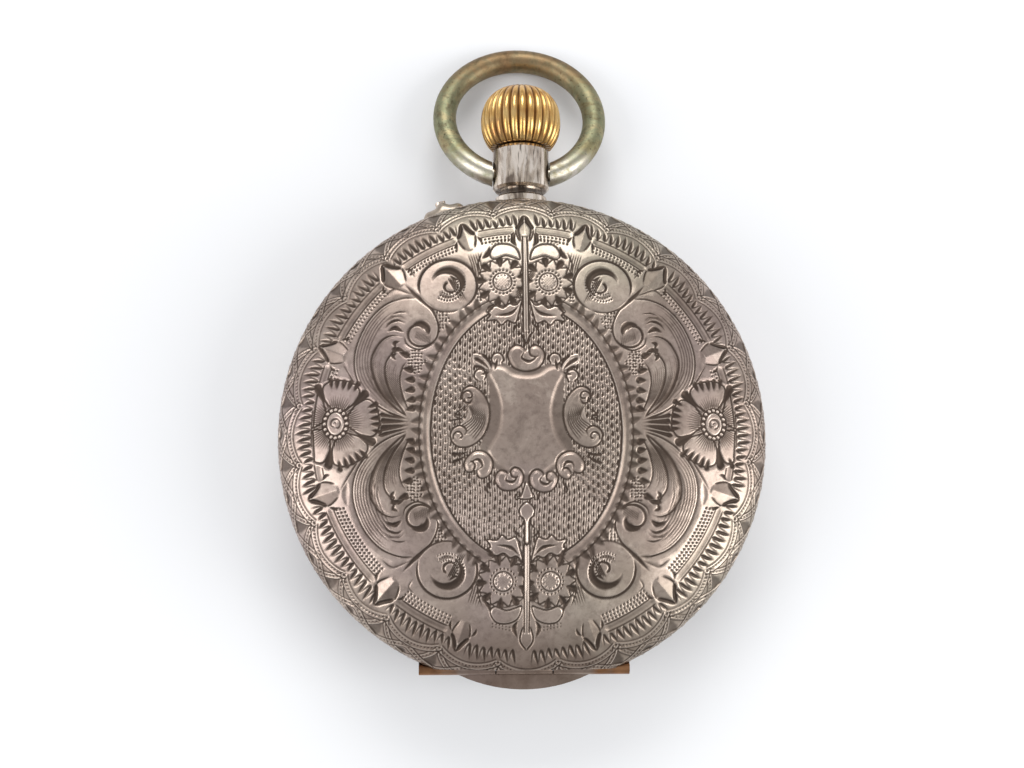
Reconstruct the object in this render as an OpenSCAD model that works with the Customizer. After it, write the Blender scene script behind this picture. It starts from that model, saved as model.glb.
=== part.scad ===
// Keyless pin-set ladies' fob watch with an open face and a hinged, domed back.
// It lies on its crystal: z = 0 is the crystal's flat face, +Z points to the back, +Y to the pendant.
// All lengths in millimetres. Plan sizes inside the case follow case_d, heights follow case_h.

/* [Case] */
// Outside diameter of the case at the back cover rim
case_d = 35; // [28:0.5:44]
// Height from the crystal face to the top of the back
case_h = 11; // [9:0.1:14]
// Thickness of the back cover's sheet
cover_wall = 0.5; // [0.35:0.05:0.8]
// Fullness of the back cover's dome, 2 being an ellipse
cover_full = 2.4; // [2:0.1:3.2]
// Fullness of the inner dust cover's dome
cuvette_full = 3.5; // [2.8:0.1:4.5]
// Thickness of the inner dust cover
cuvette_wall = 0.35; // [0.25:0.05:0.5]
// Radius of the flat in the middle of the crystal
crystal_flat = 8.5; // [5:0.5:11]
// Gap left between parts that only touch
seat = 0.02; // [0.01:0.01:0.05]

/* [Hinges] */
// Distance from the middle of the case to the cover hinge axis
hinge_y = 16.3; // [15.9:0.1:16.6]
// Radius of the back cover's knuckles
knuckle_r = 0.45; // [0.35:0.01:0.5]
// Half the length of the middle knuckle of the back cover
knuckle_mid = 2; // [1.4:0.1:2.6]
// Half the whole length of the back cover's hinge with its wings
hinge_half = 7.4; // [6:0.1:7.6]
// Radius of the bezel's knuckles
bezel_knuckle_r = 0.4; // [0.3:0.01:0.45]
// Half the whole length of the bezel's hinge
bezel_hinge_half = 5; // [3:0.1:5.6]
// Radius of the dust cover's knuckles
cuvette_knuckle_r = 0.3; // [0.22:0.01:0.34]
// Half the whole length of the dust cover's hinge
cuvette_hinge_half = 3.8; // [3:0.1:4.2]
// Radius of the hinge pins of back and bezel
hinge_pin_r = 0.2; // [0.12:0.01:0.25]
// How far the lip beyond the cover's hinge reaches from the middle of the case
lip_y = 17.8; // [17.4:0.1:18.2]
// Radius of the lip's curved edge
lip_curve = 10.8; // [8:0.2:17]
// Radial clearance of every pin, shaft and arbor in its hole
run = 0.03; // [0.02:0.01:0.06]

/* [Pendant, crown and bow] */
// Radius of the pendant's barrel
pendant_r = 2.1; // [1.6:0.05:2.3]
// Length of the pendant from the band to its top
pendant_len = 4.55; // [3.6:0.1:6]
// Radius of the pendant's foot
foot_r = 1.7; // [1.4:0.05:1.75]
// Radius of the flange between the foot and the groove
flange_r = 1.92; // [1.7:0.02:2.1]
// Radius at the bottom of the groove under the barrel
neck_r = 1.58; // [1.3:0.02:1.7]
// Radius of the bow's ring at the middle of the wire
bow_r = 5.75; // [5.2:0.05:7]
// Radius of the bow's wire
wire_r = 0.875; // [0.6:0.025:1]
// Height of the bow pivot above the pendant's foot
bow_pivot = 2.6; // [2.2:0.1:3]
// Radius of the bow's end pins
bow_pin_r = 0.5; // [0.35:0.05:0.6]
// Radius of the crown
crown_r = 3; // [2.4:0.1:3.2]
// Height of the crown
crown_h = 4.74; // [3.5:0.1:5]
// Angle below the crown's widest ring at which its underside starts
crown_cut = 44; // [35:1:60]
// Number of flutes around the crown
flutes = 28; // [20:1:40]
// Depth of the flutes
flute_d = 0.22; // [0.1:0.02:0.35]
// Radius of the winding stem
stem_r = 0.45; // [0.35:0.05:0.5]

/* [Pin set] */
// Angle of the set pin from the pendant, toward the left seen from the back
pin_ang = 19; // [17:0.5:22]
// Length of the olive around the set pin
olive_len = 3.3; // [2.4:0.1:4]
// Height of the olive around the set pin
olive_h = 1.6; // [1.2:0.1:1.6]
// How far the olive stands out from the band
olive_out = 0.95; // [0.4:0.05:1]
// Radius of the set pin
set_pin_r = 0.4; // [0.3:0.05:0.45]

/* [Dial and hands] */
// Radius of the sunk seconds dial
seconds_r = 3.2; // [2.4:0.1:3.6]
// Length of the minute hand from its hub
minute_len = 11.2; // [9:0.1:12]
// Length of the hour hand from its hub
hour_len = 7.6; // [6:0.1:8.5]
// Length of the seconds hand from its hub
second_len = 2.5; // [1.8:0.1:2.9]

/* [Wheels] */
// Teeth of the barrel
n_barrel = 72; // [72:1:72]
// Teeth of the centre pinion
n_centre_p = 12; // [12:1:12]
// Teeth of the centre wheel
n_centre = 64; // [64:1:64]
// Teeth of the third pinion and of the fourth pinion
n_third_p = 8; // [8:1:8]
// Teeth of the third wheel and of the fourth wheel
n_third = 60; // [60:1:60]
// Teeth of the escape pinion
n_escape_p = 6; // [6:1:6]
// Teeth of the escape wheel
n_escape = 15; // [15:1:15]

/* [Hidden] */
$fn = 48;
u = case_d/35;               // plan unit
h = case_h/11;               // height unit
eps = 0.05;
big = 60;

// heights
z_bz0 = 0.9*h;  z_lip = 1.3*h;  z_glass = 2.0*h;  z_reb = 2.43*h;  z_b0 = 2.8*h;  z_b1 = 6.6*h;
z_dial = 2.6*h; z_pl0 = 3.1*h;  z_fl = 4.0*h;  z_pl1 = 4.7*h;  z_br0 = 6.5*h;  z_br1 = 7.4*h;
z_bc0 = 7.25*h; z_bc1 = 8.0*h;  z_stem = 4.8*h;  z_rw0 = 7.45*h; z_rw1 = 7.7*h;
z_cuv = 8.9*h;  z_crescent = 6.25*h;  z_skirt = 6.3*h;

// case radii
cover_r = case_d/2;
band_r = cover_r - 0.1*u;
bead_r0 = 16.2*u;  bead_r1 = 16.9*u;  bead_h = 0.5*h;  bead_gap = 7.6*u;
band_in = 14.9*u;  ledge_r = 13.9*u;  plate_seat = 14.5*u;  plate_body = 13.85*u;
spigot_r0 = 15.2*u; spigot_r1 = 15.9*u; spigot_h = 0.35*h;
hy = -hinge_y*u;   hh = hinge_half*u;  bhh = bezel_hinge_half*u;  chh = cuvette_hinge_half*u;
km = knuckle_mid*u;  bkm = 1.5*u;  ckm = 1.55*u;  side = 0.05;
notch = 0.1;
cuv_r = 15.5*u;  cuv_flat = -15.0*u;  cuv_hy = -15.15*u;  cuv_hz = z_b1 + cuvette_knuckle_r;
bez_in = 14.6*u;  lip_r = 14.0*u;  glass_r = 14.7*u;  groove_r = 14.75*u;  rebate_r = 16.0*u;
dial_r = 14.3*u;

// pendant, bow and crown
pf = min(foot_r, z_b1 - z_stem - 0.1);
y_foot = band_r + 0.8;  y_neck = y_foot + 0.45;  y_top = band_r + pendant_len;
y_bow = band_r + bow_pivot;
bore_r = 0.95;  groove_in = min(neck_r, pendant_r - 0.3);
bow_c = sqrt(bow_r*bow_r - (pendant_r + 0.1)*(pendant_r + 0.1));
bow_face = pendant_r + 0.05;
bow_drop = asin((z_stem - wire_r)/(bow_c + bow_r));
y_crown = y_top + 0.06;

// set pin, lever and clutch
z_pin = z_stem + 0.6*h;
pin_in = 12.9*u;
square_r = 0.26*h;
clutch_y0 = 9.4*u;  clutch_y1 = 10.7*u;  clutch_r = 1.0*h;  clutch_groove = 0.7*h;
slot_y0 = 9.8*u;  slot_y1 = 10.3*u;
lever_p = [-9.0*u, 9.5*u];
lever_tip = [-0.78*u, 10.05*u];
lever_tab = (pin_in - 0.05 - 0.4)*[-sin(pin_ang), cos(pin_ang)];

// train: modules and centres
m_b = 0.14*u;  m_c = 0.13*u;  m_t = 0.1*u;  m_h = 0.096*u;  m_r = 0.12*u;
n_ratchet = 58;  n_crownw = 40;  n_wind = 14;  n_castle = 16;
n_cannon = 12;  n_minute = 36;  n_min_p = 10;  n_hour = 40;  n_set = 50;
sec_y = 6.0*u;
d_bc = m_b*(n_barrel + n_centre_p)/2;
d_ct = m_c*(n_centre + n_third_p)/2;
d_tf = m_t*(n_third + n_third_p)/2;
d_fe = m_t*(n_third + n_escape_p)/2;
d_rc = m_r*(n_ratchet + n_crownw)/2;
d_mw = m_t*(n_cannon + n_minute)/2;
a_bar = 130;
bar = d_bc*[cos(a_bar), sin(a_bar)];
a_cf = acos((d_ct*d_ct + sec_y*sec_y - d_tf*d_tf)/(2*d_ct*sec_y));
th = d_ct*[-sin(a_cf), -cos(a_cf)];
fo = [0, -sec_y];
a_fe = -32.87;
es = fo + d_fe*[cos(a_fe), sin(a_fe)];
a_ep = 39.8;
esc_r = 1.9*u;
d_ep = 2.19*u;
pa = es + d_ep*[cos(a_ep), sin(a_ep)];
ba = es + 4.99*u*[cos(a_ep), sin(a_ep)];
cw = [0, bar[1] + sqrt(d_rc*d_rc - bar[0]*bar[0])];
mw = [0, d_mw];
sw = [0, d_mw + m_t*(n_minute + n_set)/2];
castle_r0 = 1.95*u;  castle_r1 = 2.4*u;  castle_m = 2.18*u;
wind_y0 = cw[1] + castle_m - 0.35*u;  wind_y1 = cw[1] + castle_m + 0.35*u;
wind_r = 1.65*h;
pinion_m = 2*wind_r/(n_wind + 1.6);

// bridges and cocks: screw and foot positions
f_b1 = [-11.2, 1.2]*u;  f_b2 = [11.2, 2.6]*u;  f_b3 = [4.2, 10.8]*u;
f_third = [-9.6, -3.6]*u;  f_fourth = [-5.6, -10.0]*u;  f_escape = [0.2, -11.8]*u;
f_pallet = [6.9, -10.3]*u;
a_bal = 25;
f_bal = ba + 5.4*u*[cos(a_bal), sin(a_bal)];
c_s1 = 13.1*u*[cos(30), sin(30)];  c_s2 = 13.1*u*[cos(215), sin(215)];
head_r = 0.75*u;  shank_r = 0.35*u;  head_h = 0.3*h;  cslot = 0.16*u;
bridge_r = 12.9*u;
jewel_r = 0.5*u;  jewel_t = 0.25*h;  pivot_r = 0.1*u;  arbor_r = 0.2*u;
click_p = bar + 5.6*u*[cos(150), sin(150)];
click_t = bar + 3.72*u*[cos(165), sin(165)];
bal_r = 3.75*u;  rim_w = 0.4*u;
hair_r0 = 0.48*u;  hair_r1 = 1.9*u;

// phases that mesh two wheels: n1 at phase p1 drives n2 seen along angle a
function mesh(p1, n1, n2, a) = a + 180 + (0.5 - (p1 - a)*n1/360)*360/n2;
function ang(p, q) = atan2(q[1] - p[1], q[0] - p[0]);
ph_c = mesh(0, n_barrel, n_centre_p, ang(bar, [0,0]));
ph_tp = mesh(0, n_centre, n_third_p, ang([0,0], th));
ph_fp = mesh(0, n_third, n_third_p, ang(th, fo));
ph_ep = mesh(0, n_third, n_escape_p, ang(fo, es));
ph_mw = mesh(0, n_cannon, n_minute, 90);
ph_hw = mesh(0, n_min_p, n_hour, -90);
ph_sw = mesh(ph_mw, n_minute, n_set, 90);
ph_cw = mesh(0, n_ratchet, n_crownw, ang(bar, cw));

// helpers
module at(p, z = 0) translate([p[0], p[1], z]) children();
module rod(p, r, z0, z1) at(p, z0) cylinder(r = r, h = z1 - z0);
module rod_y(r, y0, y1, z) translate([0, y0, z]) rotate([-90, 0, 0]) cylinder(r = r, h = y1 - y0);
module rod_x(r, x0, x1, y, z) translate([x0, y, z]) rotate([0, 90, 0]) cylinder(r = r, h = x1 - x0);
module box(x0, x1, y0, y1, z0, z1) translate([x0, y0, z0]) cube([x1 - x0, y1 - y0, z1 - z0]);
module pair(r, x0, x1, y, z) { rod_x(r, x0, x1, y, z); rod_x(r, -x1, -x0, y, z); }
module gear(n, m, ph, z0, z1, add = 0.8, ded = 1.1)
    translate([0, 0, z0]) linear_extrude(height = z1 - z0)
        polygon([for (i = [0:n - 1]) for (k = [0:3])
            let (a = ph + 360/n*(i + [-0.28, -0.1, 0.1, 0.28][k]), r = m*(n/2 + [-ded, add, add, -ded][k]))
            [r*cos(a), r*sin(a)]]);
module spokes(r0, r1, w, n, z0, z1)
    difference() {
        translate([0, 0, z0 - eps]) cylinder(r = r1, h = z1 - z0 + 2*eps);
        translate([0, 0, z0 - 2*eps]) cylinder(r = r0, h = z1 - z0 + 4*eps);
        for (i = [0:n - 1]) rotate([0, 0, 360/n*i]) translate([0, -w/2, z0 - 2*eps]) cube([r1 + 1, w,
                z1 - z0 + 4*eps]);
    }
module finger(p, q, r, rq, z0, z1) {
    rod(p, r, z0, z1);
    rod(q, rq, z0, z1);
    at(p, z0) rotate([0, 0, ang(p, q)]) translate([0, -r, 0]) cube([norm(q - p), 2*r, z1 - z0]);
}
module cock(p, q, r, rq, z0, z1) {
    finger(p, q, r, rq, z0, z1);
    rod(q, rq, z_pl1, z0 + eps);
}
module screw_hole(p, z1, r = head_r, s = shank_r) {
    rod(p, r + run, z1 - head_h, z1 + 1);
    rod(p, s + run, z_fl - 0.1*h - seat, z1);
}
module jewel_hole(p, z1) {
    rod(p, jewel_r, z1 - jewel_t, z1 + 1);
    rod(p, arbor_r + 2*run, z1 - 2, z1);
}
module jewel(p, z1, r = pivot_r)
    difference() { rod(p, jewel_r - 0.005, z1 - jewel_t, z1); rod(p, r + 0.02, z1 - 1, z1 + 1); }
module screw(p, z1, r = head_r, s = shank_r)
    difference() {
        union() { rod(p, r, z1 - head_h, z1); rod(p, s, z_fl - 0.1*h, z1 - head_h + eps); }
        at(p, z1 - head_h*0.5) rotate([0, 0, 35]) translate([-r - 1, -cslot/2, 0]) cube([2*r + 2,
                cslot, 1]);
    }
function dome(R, z, H, n, N = 12) = [for (i = [0:N]) let (t = 90*i/N) [R*pow(cos(t), 2/n),
        z + H*pow(sin(t), 2/n)]];
module dome_solid(R, z, H, n, below = 0)
    rotate_extrude($fn = 96) polygon(concat([[0, z - below], [R, z - below]], below > 0 ? dome(R, z, H,
            n) : [for (i = [1:12]) dome(R, z, H, n)[i]]));

// case
module middle_case() color("Silver") difference() {
    union() {
        difference() {
            rotate_extrude($fn = 96) polygon([[plate_seat + seat, z_b0], [spigot_r0, z_b0], [spigot_r0,
                    z_b0 - spigot_h], [spigot_r1, z_b0 - spigot_h], [spigot_r1, z_b0],
                [band_r - 0.15, z_b0], [band_r, z_b0 + 0.15], [band_r, z_b1 - 0.15], [band_r - 0.15, z_b1],
                [bead_r1, z_b1], [bead_r1, z_b1 + bead_h - 0.1], [bead_r1 - 0.1, z_b1 + bead_h],
                        [bead_r0, z_b1 + bead_h], [bead_r0, z_b1],
                [band_in, z_b1], [band_in, z_pl1], [ledge_r, z_pl1], [ledge_r, z_fl + seat],
                        [plate_seat + seat, z_fl + seat]]);
            box(-bead_gap, bead_gap, -big, -10*u, z_b1, z_b1 + 5);
            box(-bhh - 0.6, bhh + 0.6, -big, -10*u, z_b0 - 5, z_b0);
            box(-big, big, -big, hy, z_crescent, z_b1 + 5);
            box(-big, big, -big, hy, z_b0 - 5, z_b0 + 0.3*h);
        }
        intersection() { rod([0, (lip_curve - lip_y)*u], lip_curve*u, z_b0 + 0.3*h, z_crescent,
                $fn = 96); box(-big, big, -big, hy + 0.5, 0, big); }
        pair(knuckle_r, km + side, hh, hy, z_b1);
        box(km + side, hh - 1.0*u, hy - knuckle_r, hy + 0.6, z_b1 - 1.2*h, z_b1);
        box(-hh + 1.0*u, -km - side, hy - knuckle_r, hy + 0.6, z_b1 - 1.2*h, z_b1);
        pair(bezel_knuckle_r, bkm + side, bhh, hy, z_b0);
        box(bkm + side, bhh, hy - bezel_knuckle_r, hy + 0.6, z_b0, z_b0 + 1.0*h);
        box(-bhh, -bkm - side, hy - bezel_knuckle_r, hy + 0.6, z_b0, z_b0 + 1.0*h);
        pair(cuvette_knuckle_r, ckm + side, chh, cuv_hy, cuv_hz);
        box(ckm + side, chh, cuv_hy - 0.2, cuv_hy + 0.2, z_b1 - eps, cuv_hz - 0.08);
        box(-chh, -ckm - side, cuv_hy - 0.2, cuv_hy + 0.2, z_b1 - eps, cuv_hz - 0.08);
    }
    rod_x(knuckle_r + notch, -km - side, km + side, hy, z_b1);
    rod_x(bezel_knuckle_r + notch, -bkm - side, bkm + side, hy, z_b0);
    rod_x(hinge_pin_r + run, -hh - 1, hh + 1, hy, z_b1);
    rod_x(hinge_pin_r + run, -bhh - 1, bhh + 1, hy, z_b0);
    rod_x(0.12 + run, -chh - 1, chh + 1, cuv_hy, cuv_hz);
    rod_y(stem_r + 0.15, 12*u, 20*u, z_stem);
    rotate([0, 0, pin_ang]) rod_y(set_pin_r + run, 13*u, 20*u, z_pin);
}
module pendant() color("Gainsboro") difference() {
    translate([0, 0, z_stem]) rotate([-90, 0, 0]) rotate_extrude() polygon([[bore_r, band_r - 1], [pf,
            band_r - 1], [pf, cover_r + 0.08], [flange_r - 0.06, cover_r + 0.08], [flange_r,
            cover_r + 0.14], [flange_r, y_foot - 0.14], [flange_r - 0.14, y_foot], [groove_in, y_foot],
            [groove_in, y_neck],
        [pendant_r - 0.2, y_neck], [pendant_r, y_neck + 0.2], [pendant_r, y_top - 0.3],
                [pendant_r - 0.12, y_top - 0.08], [pendant_r - 0.35, y_top], [bore_r, y_top]]);
    cylinder(r = band_r, h = 20, $fn = 96);
    rod_x(bow_pin_r + run, -pendant_r - 1, pendant_r + 1, y_bow, z_stem);
}
module stem_sleeve() color("SlateGray") difference() {
    rod_y(bore_r - 0.02, y_foot + 0.1, y_top - 0.5, z_stem);
    rod_y(stem_r + run, y_foot, y_top, z_stem);
}
module back_cover() color("Silver") difference() {
    union() {
        difference() {
            intersection() { dome_solid(cover_r, z_b1 + seat, case_h - z_b1 - seat, cover_full);
                    box(-big, big, hy, big, 0, big); }
            intersection() { dome_solid(cover_r - cover_wall, z_b1 + seat,
                    case_h - z_b1 - seat - cover_wall, cover_full, 1); box(-big, big, hy + cover_wall,
                    big, 0, big); }
            pair(knuckle_r + notch, km, hh + 0.1, hy, z_b1);
        }
        rod_x(knuckle_r, -km, km, hy, z_b1);
    }
    rod_x(hinge_pin_r + run, -hh, hh, hy, z_b1);
}
module cuvette() color("Gold") difference() {
    union() {
        difference() {
            intersection() { dome_solid(cuv_r, z_b1 + seat + 0.3, z_cuv - z_b1 - seat - 0.3,
                    cuvette_full, 0.3); box(-big, big, cuv_flat, big, 0, big); }
            intersection() { dome_solid(cuv_r - 0.65*u, z_b1 + seat,
                    z_cuv - z_b1 - seat - cuvette_wall, cuvette_full, 1); box(-big, big,
                    cuv_flat + cuvette_wall, big, 0, big); }
            pair(cuvette_knuckle_r + 0.06, ckm, chh + 0.1, cuv_hy, cuv_hz);
        }
        rod_x(cuvette_knuckle_r - 0.02, -ckm, ckm, cuv_hy, cuv_hz);
    }
    rod_x(0.12 + run, -hh, hh, cuv_hy, cuv_hz);
}
module bezel() color("Silver") difference() {
    union() {
        difference() {
            rotate_extrude($fn = 96) polygon([[rebate_r, z_b0 - seat], [rebate_r, z_reb], [bez_in,
                    z_reb], [bez_in, z_glass], [groove_r, z_glass], [groove_r, z_lip], [lip_r, z_lip],
                    [lip_r, z_bz0],
                [15.2*u, z_bz0], [15.8*u, 1.0*h], [16.5*u, 1.27*h], [17.1*u, 1.7*h], [band_r, 2.25*h],
                        [band_r, z_b0 - seat]]);
            box(-big, big, -big, hy, -1, big);
            pair(bezel_knuckle_r + notch, bkm, bhh + 0.1, hy, z_b0);
        }
        rod_x(bezel_knuckle_r, -bkm, bkm, hy, z_b0);
        box(-bkm, bkm, hy, hy + 0.3, z_b0 - 0.8*h, z_b0 - 0.2*h);
    }
    rod_x(hinge_pin_r + run, -hh, hh, hy, z_b0);
}
module crystal() color("LightCyan", 0.4)
    rotate_extrude($fn = 96) polygon([[0, 0], [crystal_flat*u, 0], [10.4*u, 0.08*h], [11.9*u, 0.3*h],
            [13.1*u, 0.68*h], [lip_r - 0.05, 1.15*h], [lip_r - 0.05, z_lip + seat], [glass_r,
            z_lip + seat], [glass_r, z_glass - seat],
        [14.1*u, z_glass - seat], [13.2*u, 1.55*h], [12.0*u, 1.08*h], [10.4*u, 0.76*h], [8.5*u,
                0.65*h], [0, 0.65*h]]);
module back_hinge_pin() color("SlateGray") rod_x(hinge_pin_r, -hh + 0.05, hh - 0.05, hy, z_b1);
module bezel_hinge_pin() color("SlateGray") rod_x(hinge_pin_r, -bhh + 0.05, bhh - 0.05, hy, z_b0);
module cuvette_hinge_pin() color("SlateGray") rod_x(0.12, -chh + 0.05, chh - 0.05, cuv_hy, cuv_hz);

// bow, crown and stem
module bow() color("DarkKhaki") translate([0, y_bow, z_stem]) rotate([-bow_drop, 0, 0]) {
    difference() {
        translate([0, bow_c, 0]) rotate_extrude($fn = 96) translate([bow_r, 0]) circle(r = wire_r,
                $fn = 32);
        translate([-bow_face, -3, -3]) cube([2*bow_face, 5, 6]);
    }
    rod_x(bow_pin_r, bore_r + 0.15, bow_face + 0.3, 0, 0);
    rod_x(bow_pin_r, -bow_face - 0.3, -bore_r - 0.15, 0, 0);
}
module crown() color("Goldenrod") difference() {
    intersection() {
        translate([0, 0, z_stem]) rotate([-90, 0, 0]) rotate_extrude() polygon(concat([[0, y_crown]],
                [for (i = [0:10]) let (t = -crown_cut + (90 + crown_cut)/10*i)
            [crown_r*pow(cos(t), 0.8), y_crown + crown_h*(0.42 + (t < 0 ? 0.42/pow(sin(crown_cut),
                    0.9)*-pow(sin(-t), 0.9) : 0.58*pow(sin(t), 0.9)))]]));
        translate([0, y_crown - 1, z_stem]) rotate([-90, 0,
                0]) linear_extrude(height = crown_h + 2) polygon([for (i = [0:flutes - 1]) for (k = [0:3])
            let (a = 360/flutes*(i + [0, 0.5, 0.62, 0.88][k]), r = crown_r + [0, 0, -flute_d,
                    -flute_d][k]) [r*cos(a), r*sin(a)]]);
    }
    rod_y(stem_r, y_crown - 1, y_crown + 1.5, z_stem);
}
module winding_stem() color("SteelBlue") {
    rod_y(stem_r, wind_y1 + 0.02, y_crown + 1.5, z_stem);
    intersection() {
        box(-square_r, square_r, 7.9*u, wind_y1 + 0.05, z_stem - square_r, z_stem + square_r);
        rod_y(stem_r, 7.8*u, wind_y1 + 0.1, z_stem);
    }
    rod_y(square_r - 0.02, 7.1*u, 7.95*u, z_stem);
}
module winding_pinion() color("LightSteelBlue") difference() {
    translate([0, wind_y0, z_stem]) rotate([-90, 0, 0]) gear(n_wind, pinion_m, 90, 0, wind_y1 - wind_y0);
    rod_y(stem_r, wind_y0 - 1, wind_y1 + 1, z_stem);
}
module clutch() color("LightSteelBlue") difference() {
    rod_y(clutch_r, clutch_y0, clutch_y1, z_stem);
    difference() { rod_y(clutch_r + 1, slot_y0, slot_y1, z_stem); rod_y(clutch_groove, slot_y0 - 1,
            slot_y1 + 1, z_stem); }
    rod_y(stem_r + run, clutch_y0 - 1, clutch_y1 + 1, z_stem);
    for (i = [0:3]) translate([0, clutch_y0, z_stem]) rotate([0, 45*i, 0]) translate([-2, -1,
            -0.1]) cube([4, 1.15, 0.2]);
}

// pin set
module pin_set_olive() color("Silver") difference() {
    rotate([0, 0, pin_ang]) translate([0, band_r - 1, z_pin]) rotate([-90, 0,
            0]) linear_extrude(height = 1 + olive_out) intersection() {
        translate([0, olive_R - olive_h/2]) circle(r = olive_R, $fn = 96);
        translate([0, olive_h/2 - olive_R]) circle(r = olive_R, $fn = 96);
    }
    cylinder(r = band_r, h = 20, $fn = 96);
    rotate([0, 0, pin_ang]) rod_y(set_pin_r + run, 13*u, 20*u, z_pin);
}
olive_R = (olive_len*olive_len/4 + olive_h*olive_h/4)/olive_h;
module set_pin() color("Silver") rotate([0, 0, pin_ang]) {
    rod_y(set_pin_r, pin_in, band_r + olive_out + 0.25, z_pin);
    rod_y(set_pin_r + 0.2, 14.15*u, 14.45*u, z_pin);
}
module set_lever() color("LightSteelBlue") difference() {
    union() {
        finger(lever_p, lever_tip + [-0.28*u, 0], 0.3*u, 0.28*u, z_pl1 + 0.05*h, z_pl1 + 0.3*h);
        rod(lever_p, 0.65*u, z_pl1 + 0.05*h, z_pl1 + 0.3*h);
        finger([lever_tab[0], 9.9*u], lever_tab, 0.3*u, 0.38, z_pl1 + 0.05*h, z_pl1 + 0.3*h);
        rod(lever_tab, 0.38, z_pl1 + 0.1*h, z_pin + 0.4*h);
    }
    rod(lever_p, 0.3*u + run, 0, big);
}

// plate and bridges
module main_plate() color("Khaki") difference() {
    union() {
        rod([0, 0], plate_seat, z_pl0, z_fl, $fn = 96);
        rod([0, 0], plate_body, z_fl - eps, z_pl1, $fn = 96);
        rod(lever_p, 0.3*u, z_pl1 - eps, z_pl1 + 0.5*h);
    }
    difference() {
        union() { rod([0, 0], 4.6*u, 0, z_pl0 + 0.8*h); rod(sw, 2.75*u, 0, z_pl0 + 0.8*h); }
        rod(mw, 0.25*u, z_pl0 + 0.05*h, z_pl1);
        rod(sw, 0.25*u, z_pl0 + 0.05*h, z_pl1);
    }
    rod([0, 0], 0.3*u + run, 0, big);
    rod(bar, 0.5*u + run, z_pl1 - 0.45*h, big);
    for (p = [th, fo, es, pa, ba]) jewel_hole(p, z_pl1);
    rod(fo, 0.12*u + run, 0, z_pl1);
    box(-1.8*u, 1.8*u, wind_y0 - 0.1, wind_y1 + 0.1, 0, big);
    rod_y(clutch_r + 0.1, 8.6*u, wind_y0, z_stem);
    rod_y(stem_r + 0.05, 7*u, 16*u, z_stem);
    for (p = [f_b1, f_b2, f_b3, f_third, f_fourth, f_escape, f_bal]) rod(p, shank_r + run,
            z_fl - 0.1*h - seat, big);
    for (p = [c_s1, c_s2]) rod(p, shank_r + run, z_fl - 0.1*h - seat, big);
    rod(f_pallet, 0.25*u + run, z_fl - 0.1*h - seat, big);
}
module barrel_bridge() color("Khaki") difference() {
    union() {
        intersection() { rod([0, 0], bridge_r, z_br0, z_br1, $fn = 96); box(-big, big, -1.1*u, big, 0,
                big); }
        intersection() {
            difference() { rod(cw, 3.0*u, z_skirt - 0.4*h, z_br0 + eps); rod(bar, 4.65*u, 0,
                    z_br0 - 0.1*h); }
            rod([0, 0], bridge_r, 0, z_br1, $fn = 96);
        }
        rod(f_b1, 1.3*u, z_pl1, z_br0 + eps);
        rod(f_b2, 1.3*u, z_pl1, z_br0 + eps);
        rod(f_b3, 1.3*u, z_pl1, z_br0 + eps);
    }
    rod(ba, 4.5*u, 0, big);
    difference() { rod(cw, castle_r1 + 0.05, z_skirt - 0.08*h, big); rod(cw, castle_r0 - 0.05, 0, big); }
    rod_y(wind_r + 0.1, wind_y0 - 0.1, 13.2*u, z_stem);
    rod(cw, 0.5*u + run, z_br1 - 0.7*h, big);
    rod(bar, 0.5*u + run, 0, big);
    rod([0, 0], 0.18*u + run, 0, big);
    for (p = [f_b1, f_b2, f_b3]) screw_hole(p, z_br1);
    for (p = [c_s1, c_s2]) rod(p, 1.3*u, 0, big);
    rod(click_p, 0.3*u + run, z_br1 - 0.5*h, big);
}
module third_cock() color("Khaki") difference() { cock(th, f_third, 0.8*u, 1.1*u, z_br0, z_br1);
        jewel_hole(th, z_br1); screw_hole(f_third, z_br1); }
module fourth_cock() color("Khaki") difference() { cock(fo, f_fourth, 0.8*u, 1.1*u, z_br0, z_br1);
        jewel_hole(fo, z_br1); screw_hole(f_fourth, z_br1); }
module escape_cock() color("Khaki") difference() { cock(es, f_escape, 0.62*u, 1.1*u, z_br0, z_br1);
        jewel_hole(es, z_br1); screw_hole(f_escape, z_br1); }
module pallet_cock() color("Khaki") difference() { cock(pa, f_pallet, 0.62*u, 0.85*u, 5.75*h, 6.25*h);
        jewel_hole(pa, 6.25*h); screw_hole(f_pallet, 6.25*h, 0.5*u, 0.25*u); }
module balance_cock() color("Khaki") difference() {
    cock(ba, f_bal, 1.0*u, 1.1*u, z_bc0, z_bc1);
    jewel_hole(ba, z_bc1);
    screw_hole(f_bal, z_bc1);
    rod(stud_p, 0.15*u + 0.01, 0, big);
}
stud_p = ba + (hair_r1 + 0.2*u)*[cos(a_bal), sin(a_bal)];

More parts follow.
